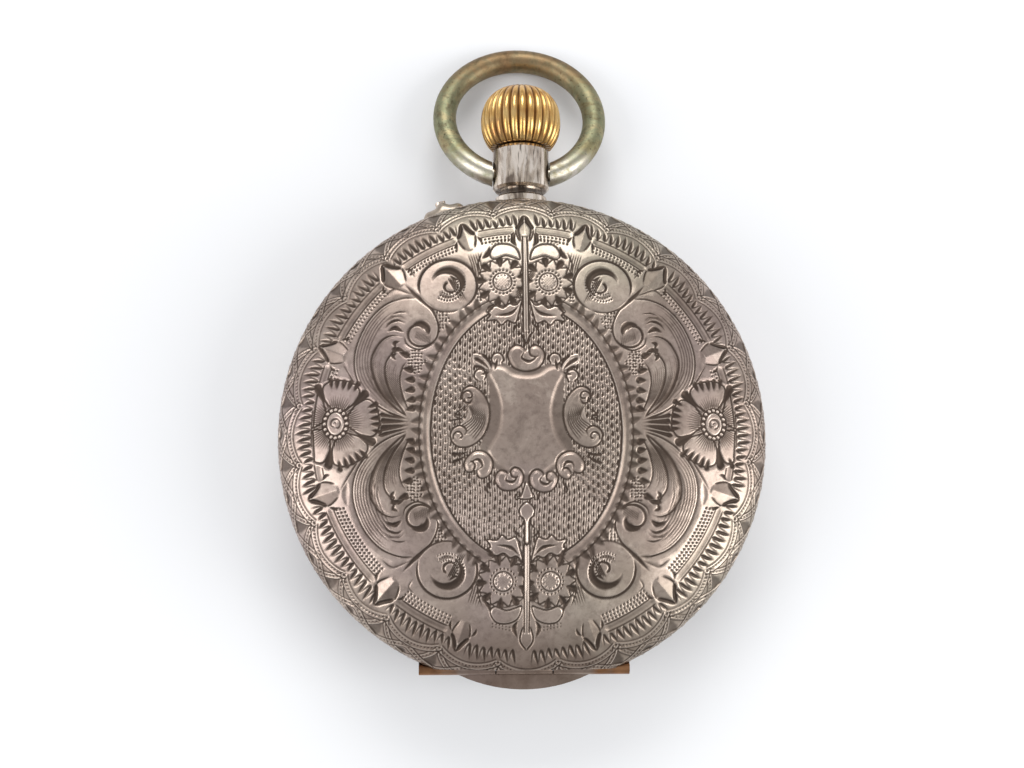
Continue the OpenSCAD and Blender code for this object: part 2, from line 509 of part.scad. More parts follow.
// power side
module barrel() color("Goldenrod") difference() {
    union() { at(bar) gear(n_barrel, m_b, 0, 5.1*h, 5.5*h); rod(bar, 4.5*u, 5.5*h - eps, 6.2*h, $fn = 96); }
    rod(bar, 4.2*u, 5.3*h, 6.05*h);
    rod(bar, 4.3*u, 6.05*h, 7*h);
    rod(bar, 0.5*u + run, 0, big);
}
module barrel_cover() color("Goldenrod") difference() { rod(bar, 4.29*u, 6.06*h, 6.2*h); rod(bar,
        0.5*u + run, 0, big); }
module barrel_arbor() color("SteelBlue") difference() {
    union() { rod(bar, 0.9*u, 5.32*h, 6.04*h); rod(bar, 0.5*u, z_pl1 - 0.4*h, z_rw1 - 0.02); }
    rod(bar, 0.25*u, z_br0, big);
}
module mainspring() color("SteelBlue") at(bar, 5.34*h) linear_extrude(height = 0.68*h)
    polygon(concat([for (i = [0:120]) let (a = 18*i, r = (1.0 + 3.0*i/120)*u) [r*cos(a), r*sin(a)]],
            [for (j = [0:120]) let (i = 120 - j, a = 18*i, r = (1.0 + 3.0*i/120 + 0.17)*u) [r*cos(a),
            r*sin(a)]]));
module ratchet_wheel() color("LightSteelBlue") difference() { at(bar) gear(n_ratchet, m_r, 0, z_rw0,
        z_rw1); rod(bar, 0.5*u + 0.01, 0, big); }
module ratchet_screw() color("SteelBlue") difference() {
    union() { rod(bar, 1.1*u, z_rw1, z_rw1 + 0.25*h); rod(bar, 0.25*u - 0.01, z_br0 + 0.1*h, z_rw1 + eps); }
    at(bar, z_rw1 + 0.13*h) rotate([0, 0, 20]) translate([-2, -cslot/2, 0]) cube([4, cslot, 1]);
}
module crown_wheel() color("LightSteelBlue") difference() {
    union() {
        at(cw) gear(n_crownw, m_r, ph_cw, z_rw0, z_rw1);
        difference() { rod(cw, castle_r1, z_skirt, z_rw0 + eps); rod(cw, castle_r0, 0, z_rw0); }
    }
    rod(cw, 0.5*u + run, 0, big);
    for (i = [0:n_castle/2 - 1]) at(cw, z_skirt - 1) rotate([0, 0,
            90 + 360/n_castle*i]) translate([-3*u, -0.24*u, 0]) cube([6*u, 0.48*u, 1.2]);
}
module crown_wheel_screw() color("SteelBlue") difference() {
    union() { rod(cw, 1.0*u, z_rw1 + 0.02, z_rw1 + 0.25*h); rod(cw, 0.5*u, z_br1 - 0.65*h, z_rw1 + 0.05); }
    at(cw, z_rw1 + 0.13*h) rotate([0, 0, 70]) translate([-2, -cslot/2, 0]) cube([4, cslot, 1]);
}
module click() color("LightSteelBlue") difference() {
    union() { finger(click_p, click_t, 0.14*u, 0.1*u, z_rw0, z_rw1); rod(click_p, 0.65*u, z_rw0, z_rw1); }
    rod(click_p, 0.3*u + run, 0, big);
}
module click_screw() color("SteelBlue") difference() {
    union() { rod(click_p, 0.5*u, z_rw1 + 0.02, z_rw1 + 0.22*h); rod(click_p, 0.3*u, z_br1 - 0.45*h,
            z_rw1 + 0.05); }
    at(click_p, z_rw1 + 0.12*h) rotate([0, 0, 110]) translate([-2, -cslot/2, 0]) cube([4, cslot, 1]);
}
module click_spring() color("SteelBlue") {
    at(click_p, z_br1) difference() {
        cylinder(r = 1.35*u, h = 0.2*h);
        translate([0, 0, -1]) cylinder(r = 1.2*u, h = 3);
        translate([-3*u, -3*u, -1]) cube([6*u, 3*u, 3]);
    }
    at(click_p + [1.28*u, -0.1*u], z_br1) cylinder(r = 0.2*u, h = 0.25*h);
}

// train
module centre_wheel() color("Goldenrod") {
    difference() { gear(n_centre, m_c, 0, 4.8*h, 4.95*h); spokes(0.9*u, 3.6*u, 0.5*u, 5, 4.8*h, 4.95*h); }
    gear(n_centre_p, m_b, ph_c, 5.05*h, 5.9*h);
    rod([0, 0], 0.3*u, 1.8*h, z_br0 - 0.05*h);
    rod([0, 0], 0.18*u, z_br0 - 0.1*h, z_br1 - 0.1*h);
    rod([0, 0], 0.55*u, 4.75*h, 5.1*h);
}
module third_wheel() color("Goldenrod") at(th) {
    difference() { gear(n_third, m_t, 0, 5.45*h, 5.6*h); spokes(0.6*u, 2.6*u, 0.35*u, 4, 5.45*h, 5.6*h); }
    gear(n_third_p, m_c, ph_tp, 4.75*h, 5.15*h);
    rod([0, 0], arbor_r, 4.75*h, 7.12*h);
    rod([0, 0], pivot_r, 4.35*h, 7.35*h);
}
module fourth_wheel() color("Goldenrod") at(fo) {
    difference() { gear(n_third, m_t, 0, 5.9*h, 6.05*h); spokes(0.6*u, 2.6*u, 0.35*u, 4, 5.9*h, 6.05*h); }
    gear(n_third_p, m_t, ph_fp, 5.3*h, 5.75*h);
    rod([0, 0], arbor_r, 4.75*h, 7.12*h);
    rod([0, 0], pivot_r, 2.42*h, 7.35*h);
}
module escape_wheel() color("LightSteelBlue") at(es) {
    difference() {
        at([0, 0], 5.35*h) linear_extrude(height = 0.15*h) polygon([for (i = [0:n_escape - 1])
                for (k = [0:2])
            let (a = a_ep + 24*i + [-1.2, 1.2, 9][k], r = [esc_r, esc_r, 1.42*u][k]) [r*cos(a), r*sin(a)]]);
        spokes(0.45*u, 1.15*u, 0.22*u, 4, 5.35*h, 5.5*h);
    }
    gear(n_escape_p, m_t, ph_ep, 5.75*h, 6.2*h);
    rod([0, 0], 0.15*u, 4.75*h, 7.12*h);
    rod([0, 0], pivot_r, 4.35*h, 7.35*h);
}
module pallet_fork() color("LightSteelBlue") {
    s = esc_r + 0.06;
    difference() {
        union() {
            finger(pa, ba - 0.75*u*[cos(a_ep), sin(a_ep)], 0.14*u, 0.22*u, 5.35*h, 5.5*h);
            for (k = [-1, 1]) finger(pa, es + (s + 0.3*u)*[cos(a_ep + k*33), sin(a_ep + k*33)], 0.14*u,
                    0.14*u, 5.35*h, 5.5*h);
            rod(pa, 0.3*u, 5.35*h, 5.5*h);
        }
        at(es) for (k = [-30, 30]) rotate([0, 0, a_ep + k]) translate([s, -0.08*u, 0]) cube([0.36*u,
                0.16*u, big]);
    }
    rod(pa, 0.13*u, 4.75*h, 5.98*h);
    rod(pa, pivot_r*0.8, 4.35*h, 6.2*h);
}
module pallet_stones() color("Crimson") at(es) for (k = [-30, 30]) rotate([0, 0,
        a_ep + k]) translate([esc_r + 0.06, -0.07*u, 5.36*h]) cube([0.35*u, 0.14*u, 0.13*h]);
module balance_wheel() color("Goldenrod") difference() {
    union() {
        rod(ba, bal_r, 6.35*h, 6.85*h, $fn = 96);
        for (i = [0:11]) at(ba, 6.6*h) rotate([0, 90, 15 + 30*i]) cylinder(r = 0.15*u, h = bal_r + 0.35*u);
    }
    at(ba) spokes(0.55*u, bal_r - rim_w, 0.5*u, 2, 6.3*h, 6.9*h);
    difference() { rod(ba, bal_r - rim_w, 6.55*h, big); rod(ba, 0.1, 0, big); }
    rod(ba, 0.25*u + 0.01, 0, big);
}
module balance_staff() color("SteelBlue") {
    rod(ba, 0.25*u, 5.7*h, 7.1*h);
    rod(ba, 0.15*u, 4.8*h, 7.6*h);
    rod(ba, pivot_r*0.8, 4.4*h, 7.9*h);
    rod(ba, 0.6*u, 5.75*h, 5.95*h);
    rod(ba, 0.42*u, 6.95*h, 7.15*h);
    rod(ba - 0.45*u*[cos(a_ep), sin(a_ep)], 0.07*u, 5.55*h, 5.8*h);
}
module hairspring() color("SteelBlue") at(ba, 7.0*h) rotate([0, 0, a_bal]) linear_extrude(height = 0.12*h)
    polygon(concat([for (i = [0:126]) let (a = 20*i,
            r = hair_r0 + (hair_r1 - hair_r0 - 0.05*u)*i/126) [r*cos(a), r*sin(a)]],
            [for (j = [0:126]) let (i = 126 - j, a = 20*i,
            r = hair_r0 + 0.05*u + (hair_r1 - hair_r0 - 0.05*u)*i/126) [r*cos(a), r*sin(a)]]));
module hairspring_stud() color("SteelBlue") rod(stud_p, 0.15*u, 6.95*h, 7.95*h);
module regulator() color("LightSteelBlue") difference() {
    union() {
        finger(ba, ba + 3.6*u*[cos(a_bal + 75), sin(a_bal + 75)], 0.18*u, 0.12*u, z_bc1 + 0.02,
                z_bc1 + 0.17*h);
        rod(ba, 0.95*u, z_bc1 + 0.02, z_bc1 + 0.17*h);
    }
    rod(ba, 0.65*u, 0, big);
}
module jewels() color("Crimson") {
    for (p = [th, fo, es]) { jewel(p, z_pl1); jewel(p, z_br1); }
    jewel(pa, z_pl1, pivot_r*0.8);
    jewel(pa, 6.25*h, pivot_r*0.8);
    jewel(ba, z_pl1, pivot_r*0.8);
    jewel(ba, z_bc1, pivot_r*0.8);
}

// dial side
module cannon_pinion() color("SteelBlue") difference() {
    union() { gear(n_cannon, m_t, 0, 3.3*h, 3.85*h); rod([0, 0], 0.45*u, 1.85*h, 3.4*h); }
    rod([0, 0], 0.3*u + 0.005, 0, big);
}
module minute_wheel() color("Goldenrod") at(mw) difference() {
    union() { gear(n_minute, m_t, ph_mw, 3.6*h, 3.75*h); gear(n_min_p, m_h, 0, 3.22*h, 3.65*h); }
    rod([0, 0], 0.25*u + run, 0, big);
}
module hour_wheel() color("Goldenrod") difference() {
    union() { gear(n_hour, m_h, ph_hw, 3.26*h, 3.4*h); rod([0, 0], 0.75*u, 2.2*h, 3.3*h); }
    rod([0, 0], 0.45*u + run, 0, 3.27*h);
    rod([0, 0], 0.72*u, 3.26*h, big);
}
module setting_wheel() color("Goldenrod") at(sw) difference() {
    gear(n_set, m_t, ph_sw, 3.6*h, 3.75*h);
    rod([0, 0], 0.25*u + run, 0, big);
}
module dial() color("Ivory") difference() {
    rod([0, 0], dial_r, z_dial, z_pl0, $fn = 96);
    rod([0, 0], 0.85*u, 0, big);
    rod(fo, 0.22*u, 0, big);
    rod(fo, seconds_r*u, 0, z_dial + 0.12*h);
}
module hour_hand() color("MidnightBlue") difference() {
    rotate([0, 0, 305]) union() {
        finger([0, 0], [0, hour_len*u], 0.16*u, 0.08*u, 2.2*h, 2.3*h);
        rod([0, hour_len*u*0.72], 0.75*u, 2.2*h, 2.3*h);
        rod([0, 0], 1.15*u, 2.2*h, 2.3*h);
    }
    rod([0, 0], 0.75*u, 0, big);
    rotate([0, 0, 305]) rod([0, hour_len*u*0.72], 0.45*u, 0, big);
}
module minute_hand() color("MidnightBlue") difference() {
    rotate([0, 0, 60]) union() {
        finger([0, 0], [0, minute_len*u], 0.13*u, 0.06*u, 1.88*h, 1.97*h);
        rod([0, minute_len*u*0.7], 0.55*u, 1.88*h, 1.97*h);
        rod([0, 0], 0.75*u, 1.88*h, 1.97*h);
    }
    rod([0, 0], 0.45*u, 0, big);
    rotate([0, 0, 60]) rod([0, minute_len*u*0.7], 0.32*u, 0, big);
}
module seconds_hand() color("MidnightBlue") at(fo) rotate([0, 0, 210]) difference() {
    union() {
        finger([0, -0.8*u], [0, second_len*u], 0.06*u, 0.05*u, 2.42*h, 2.5*h);
        rod([0, 0], 0.3*u, 2.42*h, 2.58*h);
    }
    rod([0, 0], pivot_r, 0, big);
}
module bridge_screws() color("SteelBlue") {
    for (p = [f_b1, f_b2, f_b3, f_third, f_fourth, f_escape]) screw(p, z_br1);
    screw(f_bal, z_bc1);
    screw(f_pallet, 6.25*h, 0.5*u, 0.25*u);
}
module case_screws() color("SteelBlue") for (p = [c_s1, c_s2]) difference() {
    union() { rod(p, 1.1*u, z_pl1 + 0.01, z_pl1 + 0.4*h); rod(p, shank_r, z_fl - 0.1*h, z_pl1 + eps); }
    at(p, z_pl1 + 0.25*h) rotate([0, 0, 20]) translate([-2, -cslot/2, 0]) cube([4, cslot, 1]);
}

middle_case();
pendant();
back_cover();
cuvette();
bezel();
crystal();
back_hinge_pin();
cuvette_hinge_pin();
bezel_hinge_pin();
bow();
crown();
winding_stem();
stem_sleeve();
pin_set_olive();
set_pin();
main_plate();
barrel_bridge();
third_cock();
fourth_cock();
escape_cock();
pallet_cock();
balance_cock();
barrel();
barrel_cover();
barrel_arbor();
mainspring();
ratchet_wheel();
ratchet_screw();
crown_wheel();
crown_wheel_screw();
click();
click_screw();
click_spring();
winding_pinion();
clutch();
setting_wheel();
set_lever();
centre_wheel();
third_wheel();
fourth_wheel();
escape_wheel();
pallet_fork();
pallet_stones();
balance_wheel();
balance_staff();
hairspring();
hairspring_stud();
regulator();
jewels();
cannon_pinion();
minute_wheel();
hour_wheel();
dial();
hour_hand();
minute_hand();
seconds_hand();
bridge_screws();
case_screws();
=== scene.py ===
# Looks of the fob watch: engraved back, patinated bow, gilt crown, dial and movement finishes.
# Lengths are written in millimetres and turned into metres with MM.
from math import radians, pi, sin, cos, hypot

import bpy
import numpy as np
from mathutils import Matrix, Vector


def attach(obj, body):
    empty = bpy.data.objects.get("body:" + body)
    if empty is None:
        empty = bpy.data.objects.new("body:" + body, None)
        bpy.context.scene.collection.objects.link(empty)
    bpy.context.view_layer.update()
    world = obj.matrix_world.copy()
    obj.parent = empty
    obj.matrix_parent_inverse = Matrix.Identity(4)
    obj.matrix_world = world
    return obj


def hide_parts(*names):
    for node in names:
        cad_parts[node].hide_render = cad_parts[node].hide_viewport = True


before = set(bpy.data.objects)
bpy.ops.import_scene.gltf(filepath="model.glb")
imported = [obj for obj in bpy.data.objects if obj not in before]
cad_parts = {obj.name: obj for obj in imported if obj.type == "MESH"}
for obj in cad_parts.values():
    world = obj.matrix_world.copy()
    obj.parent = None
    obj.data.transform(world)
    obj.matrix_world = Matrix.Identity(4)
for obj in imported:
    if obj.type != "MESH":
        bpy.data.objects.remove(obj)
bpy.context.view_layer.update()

MM = 0.001
scene = bpy.context.scene


# ---------------------------------------------------------------- node helpers
class Mat:
    """A procedural material, with short calls for the nodes used here."""

    def __init__(self, name, **values):
        self.m = bpy.data.materials.new(name)
        self.m.use_nodes = True
        self.t = self.m.node_tree
        self.b = self.t.nodes["Principled BSDF"]
        self.xyz = self.node("ShaderNodeTexCoord").outputs["Object"]
        self.set(self.b, **values)

    def node(self, kind, **attrs):
        n = self.t.nodes.new(kind)
        for k, v in attrs.items():
            setattr(n, k, v)
        return n

    def set(self, n, **values):
        for k, v in values.items():
            s = n.inputs[k.replace("_", " ")]
            if hasattr(v, "is_linked") or hasattr(v, "links"):
                self.t.links.new(v, s)
            elif hasattr(s.default_value, "__len__") and not hasattr(v, "__len__"):
                s.default_value = (v,) * len(s.default_value)
            else:
                rgb = hasattr(v, "__len__") and len(s.default_value) == 4 and len(v) == 3
                s.default_value = (*v, 1.0) if rgb else v
        return n

    def stretch(self, x, y, z, rot=(0, 0, 0)):
        n = self.node("ShaderNodeMapping")
        self.set(n, Vector=self.xyz, Scale=(x, y, z), Rotation=rot)
        return n.outputs[0]

    def noise(self, scale, detail=4.0, rough=0.6, at=None, distort=0.0):
        n = self.node("ShaderNodeTexNoise")
        self.set(n, Vector=self.xyz if at is None else at, Scale=scale, Detail=detail, Roughness=rough,
            Distortion=distort)
        return n.outputs[0]

    def attr(self, name):
        return self.node("ShaderNodeAttribute", attribute_name=name).outputs["Fac"]

    def remap(self, x, a, b, c=0.0, d=1.0):
        n = self.node("ShaderNodeMapRange")
        self.set(n, Value=x, From_Min=a, From_Max=b, To_Min=c, To_Max=d)
        return n.outputs[0]

    def math(self, op, a, b=0.0):
        n = self.node("ShaderNodeMath", operation=op)
        for s, v in zip(n.inputs, (a, b)):
            if hasattr(v, "links"):
                self.t.links.new(v, s)
            else:
                s.default_value = v
        return n.outputs[0]

    def mix(self, f, a, b, mode="MIX"):
        n = self.node("ShaderNodeMix", data_type="RGBA", blend_type=mode)
        for s, v in ((n.inputs[0], f), (n.inputs[6], a), (n.inputs[7], b)):
            if hasattr(v, "links"):
                self.t.links.new(v, s)
            else:
                s.default_value = (*v, 1.0) if hasattr(v, "__len__") else v
        return n.outputs[2]

    def ramp(self, x, *stops):
        n = self.node("ShaderNodeValToRGB")
        e = n.color_ramp.elements
        while len(e) < len(stops):
            e.new(0.5)
        for el, (p, c) in zip(e, stops):
            el.position, el.color = p, (*c, 1.0)
        self.t.links.new(x, n.inputs[0])
        return n.outputs[0]

    def bump(self, height, strength=0.3, dist=0.00005):
        n = self.node("ShaderNodeBump")
        self.set(n, Height=height, Strength=strength, Distance=dist)
        self.t.links.new(n.outputs[0], self.b.inputs["Normal"])

    def axis(self, which):
        n = self.node("ShaderNodeSeparateXYZ")
        self.t.links.new(self.xyz, n.inputs[0])
        return n.outputs[which]


# ---------------------------------------------------------------- mesh helpers
def make(name, verts, faces, body, material, smooth=True, attrs=None, replaces=()):
    """A mesh piece from vertices in millimetres. faces is a list of index arrays or of index lists."""
    me = bpy.data.meshes.new(name)
    v = np.asarray(verts, float).reshape(-1, 3)*MM
    if isinstance(faces[0], np.ndarray):
        sizes = np.concatenate([np.full(len(f), f.shape[1]) for f in faces])
        loops = np.concatenate([f.ravel() for f in faces])
        me.vertices.add(len(v))
        me.vertices.foreach_set("co", v.astype(np.float32).ravel())
        me.loops.add(len(loops))
        me.loops.foreach_set("vertex_index", loops.astype(np.int32))
        me.polygons.add(len(sizes))
        me.polygons.foreach_set("loop_start", (np.cumsum(sizes) - sizes).astype(np.int32))
        me.update(calc_edges=True)
    else:
        me.from_pydata([tuple(p) for p in v], [], faces)
    me.polygons.foreach_set("use_smooth", np.full(len(me.polygons), smooth))
    for k, a in (attrs or {}).items():
        me.attributes.new(k, "FLOAT", "POINT").data.foreach_set("value", np.asarray(a, np.float32))
    o = bpy.data.objects.new(name, me)
    scene.collection.objects.link(o)
    me.materials.append(material)
    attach(o, body)
    if replaces:
        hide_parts(*replaces)
    return o


def grid_faces(nu, nv, close_u=False, close_v=False, start=0, flip=False):
    """Quads of a grid whose vertex (i, j) is i*nv + j."""
    i, j = np.meshgrid(np.arange(nu if close_u else nu - 1), np.arange(nv if close_v else nv - 1),
        indexing="ij")
    i2, j2 = (i + 1) % nu, (j + 1) % nv
    f = np.stack([i*nv + j, i2*nv + j, i2*nv + j2, i*nv + j2], -1).reshape(-1, 4) + start
    return f[:, ::-1] if flip else f


# ---------------------------------------------------------------- the back's surface
R, Z0, RISE, FULL, HY = 17.5, 6.62, 4.38, 2.4, -16.3   # rim radius, rim height, dome, fullness, hinge flat
HZ, SHEET, CLEAR = 6.6, 0.5, 0.56                      # hinge height, cover's wall, room round the knuckles
STEM_Z = 4.8                                           # height of the stem's axis
t_ = np.linspace(pi/2, 0, 4001)
prof_r = R*np.cos(t_)**(2/FULL)
prof_z = Z0 + RISE*np.sin(t_)**(2/FULL)
prof_s = np.concatenate([[0], np.cumsum(np.hypot(np.diff(prof_r), np.diff(prof_z)))])
S_END = prof_s[-1]


def s_of(r):
    return np.interp(r, prof_r, prof_s)


def r_of(s):
    return np.interp(s, prof_s, prof_r)


class Plate:
    """The engraving, drawn as heights on the back laid flat.

    Plan points keep their bearing and go out by arc length."""

    def __init__(self, cell):
        self.c = cell
        self.half = S_END + 0.3
        self.n = int(2*self.half/cell) + 1
        self.H = np.zeros(self.n*self.n, np.float32)
        # how dark each cell is: tarnish in the cuts, and painted shade on some facets and hollows
        self.D = np.zeros(self.n*self.n, np.float32)
        a = (np.arange(self.n)*cell - self.half).astype(np.float32)
        self.X, self.Y = np.meshgrid(a, a)
        s = np.hypot(self.X, self.Y)
        k = np.where(s > 1e-6, r_of(s)/np.maximum(s, 1e-6), 1)
        self.px, self.py = (self.X*k), (self.Y*k)          # the plan point over each cell

    def flat(self, p):
        r = np.hypot(p[:, 0], p[:, 1])
        return p*(np.where(r > 1e-6, s_of(r)/np.maximum(r, 1e-6), 1))[:, None]

    def line(self, pts, w, d, dark=1.0, ends=(0.0, 0.0), inner=0.0, outer=0.0, curve=True, closed=False,
        soft=0.0):
        """A V cut of width w and depth d along pts, tapered by ends.

        inner and outer widen its left or right side into a shallow slope."""
        p = self.flat(path(pts, curve, closed))
        w = max(w*1.1, 0.10)
        step = max(self.c*0.8, w*0.12)
        p = resample(p, step, closed)
        if len(p) < 2:
            return
        tan = np.gradient(p, axis=0)
        tan /= np.maximum(np.hypot(tan[:, 0], tan[:, 1]), 1e-9)[:, None]
        u = np.linspace(0, 1, len(p))
        grow = np.ones(len(p))
        if ends[0]:
            grow *= np.clip(u/ends[0], 0, 1)**0.7
        if ends[1]:
            grow *= np.clip((1 - u)/ends[1], 0, 1)**0.7
        self.stamp(p, np.maximum(grow, 0.02), w/2, d, dark, tan if (inner or outer) else None, w/2 + inner,
            w/2 + outer, soft)

    def stamp(self, p, grow, hw, d, dark, tan=None, left=0.0, right=0.0, soft=0.0):
        k = int(np.ceil(max(hw, left, right)/self.c)) + 1
        oy, ox = np.meshgrid(np.arange(-k, k + 1), np.arange(-k, k + 1), indexing="ij")
        ox, oy = ox.ravel(), oy.ravel()
        for a in range(0, len(p), 3000):
            q, g = p[a:a + 3000], grow[a:a + 3000, None]
            ix = np.round((q[:, 0] + self.half)/self.c).astype(int)
            iy = np.round((q[:, 1] + self.half)/self.c).astype(int)
            gx, gy = ix[:, None] + ox, iy[:, None] + oy
            dx = gx*self.c - self.half - q[:, :1]
            dy = gy*self.c - self.half - q[:, 1:]
            dist = np.hypot(dx, dy)
            core = np.clip(1 - dist/(hw*g), 0, 1)
            if tan is None:
                v = core
            else:
                t = tan[a:a + 3000]
                across = -dx*t[:, 1:] + dy*t[:, :1]
                side = np.where(across > 0, left, right)*g
                v = np.clip(1 - dist/side, 0, 1)*(0.45 + 0.55*np.clip(core*3, 0, 1))
            if soft:
                v = np.sin(v*pi/2)
            ok = (v > 0) & (gx >= 0) & (gy >= 0) & (gx < self.n) & (gy < self.n)
            idx = (gy*self.n + gx)[ok]
            np.minimum.at(self.H, idx, (-d*g*v)[ok].astype(np.float32))
            np.maximum.at(self.D, idx, (dark*np.clip(core*3.0, 0, 1)*np.minimum(g*1.6,
                1))[ok].astype(np.float32))

    def raise_line(self, pts, w, h, closed=False):
        """A low rounded ridge along pts."""
        p = resample(self.flat(path(pts, True, closed)), self.c, closed)
        k = int(np.ceil(w/2/self.c)) + 1
        oy, ox = (g.ravel() for g in np.meshgrid(np.arange(-k, k + 1), np.arange(-k, k + 1), indexing="ij"))
        gx = np.round((p[:, :1] + self.half)/self.c).astype(int) + ox
        gy = np.round((p[:, 1:] + self.half)/self.c).astype(int) + oy
        v = np.clip(1 - (np.hypot(gx*self.c - self.half - p[:, :1],
            gy*self.c - self.half - p[:, 1:])/(w/2))**2, 0, 1)
        ok = (v > 0) & (gx >= 0) & (gy >= 0) & (gx < self.n) & (gy < self.n)
        np.maximum.at(self.H, (gy*self.n + gx)[ok], (h*v)[ok].astype(np.float32))

    def dots(self, pts, r, d, dark=1.0):
        r = max(r, 0.07)
        p = self.flat(np.asarray(pts, float).reshape(-1, 2))
        self.stamp(p, np.ones(len(p)), r, d, dark, soft=1)

    def wedge(self, a, b, w, d, dark=1.0):
        """A triangular cut, wide at a and running out at b."""
        self.line([a, b], w, d, dark, ends=(0, 1), curve=False)

    def leafcut(self, pts, w, d, dark=1.0):
        self.line(pts, w, d, dark, ends=(0.45, 0.55))

    def inside(self, pts, curve=True):
        """Cells inside a closed outline in plan."""
        p = path(pts, curve, True)
        m = np.zeros((self.n, self.n), bool)
        q = self.flat(p)
        x0, y0 = np.floor((q.min(0) + self.half)/self.c).astype(int)
        x1, y1 = np.ceil((q.max(0) + self.half)/self.c).astype(int) + 1
        X, Y = self.X[y0:y1, x0:x1], self.Y[y0:y1, x0:x1]
        c = np.zeros(X.shape, bool)
        for (ax, ay), (bx, by) in zip(q, np.roll(q, -1, 0)):
            if ay != by:
                c ^= ((ay > Y) != (by > Y)) & (X < (bx - ax)*(Y - ay)/(by - ay) + ax)
        m[y0:y1, x0:x1] = c
        return m

    def clear(self, mask, height=0.0):
        f = mask.ravel()
        self.H[f], self.D[f] = height, 0

    def sink(self, mask, f, dark=None):
        i = mask.ravel()
        self.H[i] = np.minimum(self.H[i], np.broadcast_to(f, mask.shape).ravel()[i])
        if dark is not None:
            self.D[i] = np.maximum(self.D[i], np.broadcast_to(dark, mask.shape).ravel()[i])


def path(pts, curve=True, closed=False, per=10):
    """A Catmull-Rom curve through the points."""
    p = np.asarray(pts, float).reshape(-1, 2)
    if not curve or len(p) < 3:
        return p
    e = np.vstack([p[-1], p, p[0], p[1]]) if closed else np.vstack([2*p[0] - p[1], p, 2*p[-1] - p[-2]])
    out = []
    for i in range(len(e) - 3):
        a, b, c, d = e[i:i + 4]
        t = np.linspace(0, 1, per, endpoint=False)[:, None]
        out.append(0.5*(2*b + (c - a)*t + (2*a - 5*b + 4*c - d)*t**2 + (3*b - a - 3*c + d)*t**3))
    if not closed:
        out.append(p[-1:])
    return np.vstack(out)


def resample(p, step, closed=False):
    if closed:
        p = np.vstack([p, p[:1]])
    s = np.concatenate([[0], np.cumsum(np.hypot(*np.diff(p, axis=0).T))])
    n = max(2, int(s[-1]/step) + 1)
    u = np.linspace(0, s[-1], n)
    return np.stack([np.interp(u, s, p[:, 0]), np.interp(u, s, p[:, 1])], 1)


def polar(a, r):
    """Plan point at bearing a degrees clockwise from the pendant as seen from the back."""
    return (r*sin(radians(a)), r*cos(radians(a)))


def oval(cx, cy, rx, ry, a0=0.0, a1=6.2, step=0.5):
    """Points round an oval, from angle a0 towards a1 in radians."""
    return [(cx + rx*cos(a), cy + ry*sin(a)) for a in np.arange(a0, a1, step)]


def spiral(cx, cy, r0, r1, a0, a1, n=14):
    a = np.radians(np.linspace(a0, a1, n))
    r = np.linspace(r0, r1, n)
    return np.stack([cx + r*np.cos(a), cy + r*np.sin(a)], 1)


def between(A, B, f, a=0.0, b=1.0, n=40):
    """The curve a share f of the way from A to B, over the stretch a to b of both."""
    u = np.linspace(a, b, n)
    out = []
    for q in (A, B):
        q = path(q)
        s = np.concatenate([[0], np.cumsum(np.hypot(*np.diff(q, axis=0).T))])
        out.append(np.stack([np.interp(u*s[-1], s, q[:, 0]), np.interp(u*s[-1], s, q[:, 1])], 1))
    return out[0]*(1 - f) + out[1]*f


def beside(A, d, a=0.0, b=1.0, n=44):
    """The curve A moved d to its left, over the stretch a to b."""
    q = path(A)
    s = np.concatenate([[0], np.cumsum(np.hypot(*np.diff(q, axis=0).T))])
    u = np.linspace(a, b, n)*s[-1]
    q = np.stack([np.interp(u, s, q[:, 0]), np.interp(u, s, q[:, 1])], 1)
    t = np.gradient(q, axis=0)
    return q + np.stack([-t[:, 1], t[:, 0]], 1)/np.hypot(t[:, 0], t[:, 1])[:, None]*d


MID = 0.45                                     # height of the border's own middle above the case centre
QUADS = ((-1, 1), (1, 1), (-1, -1), (1, -1))   # the engraving is mirrored left-right and top-bottom


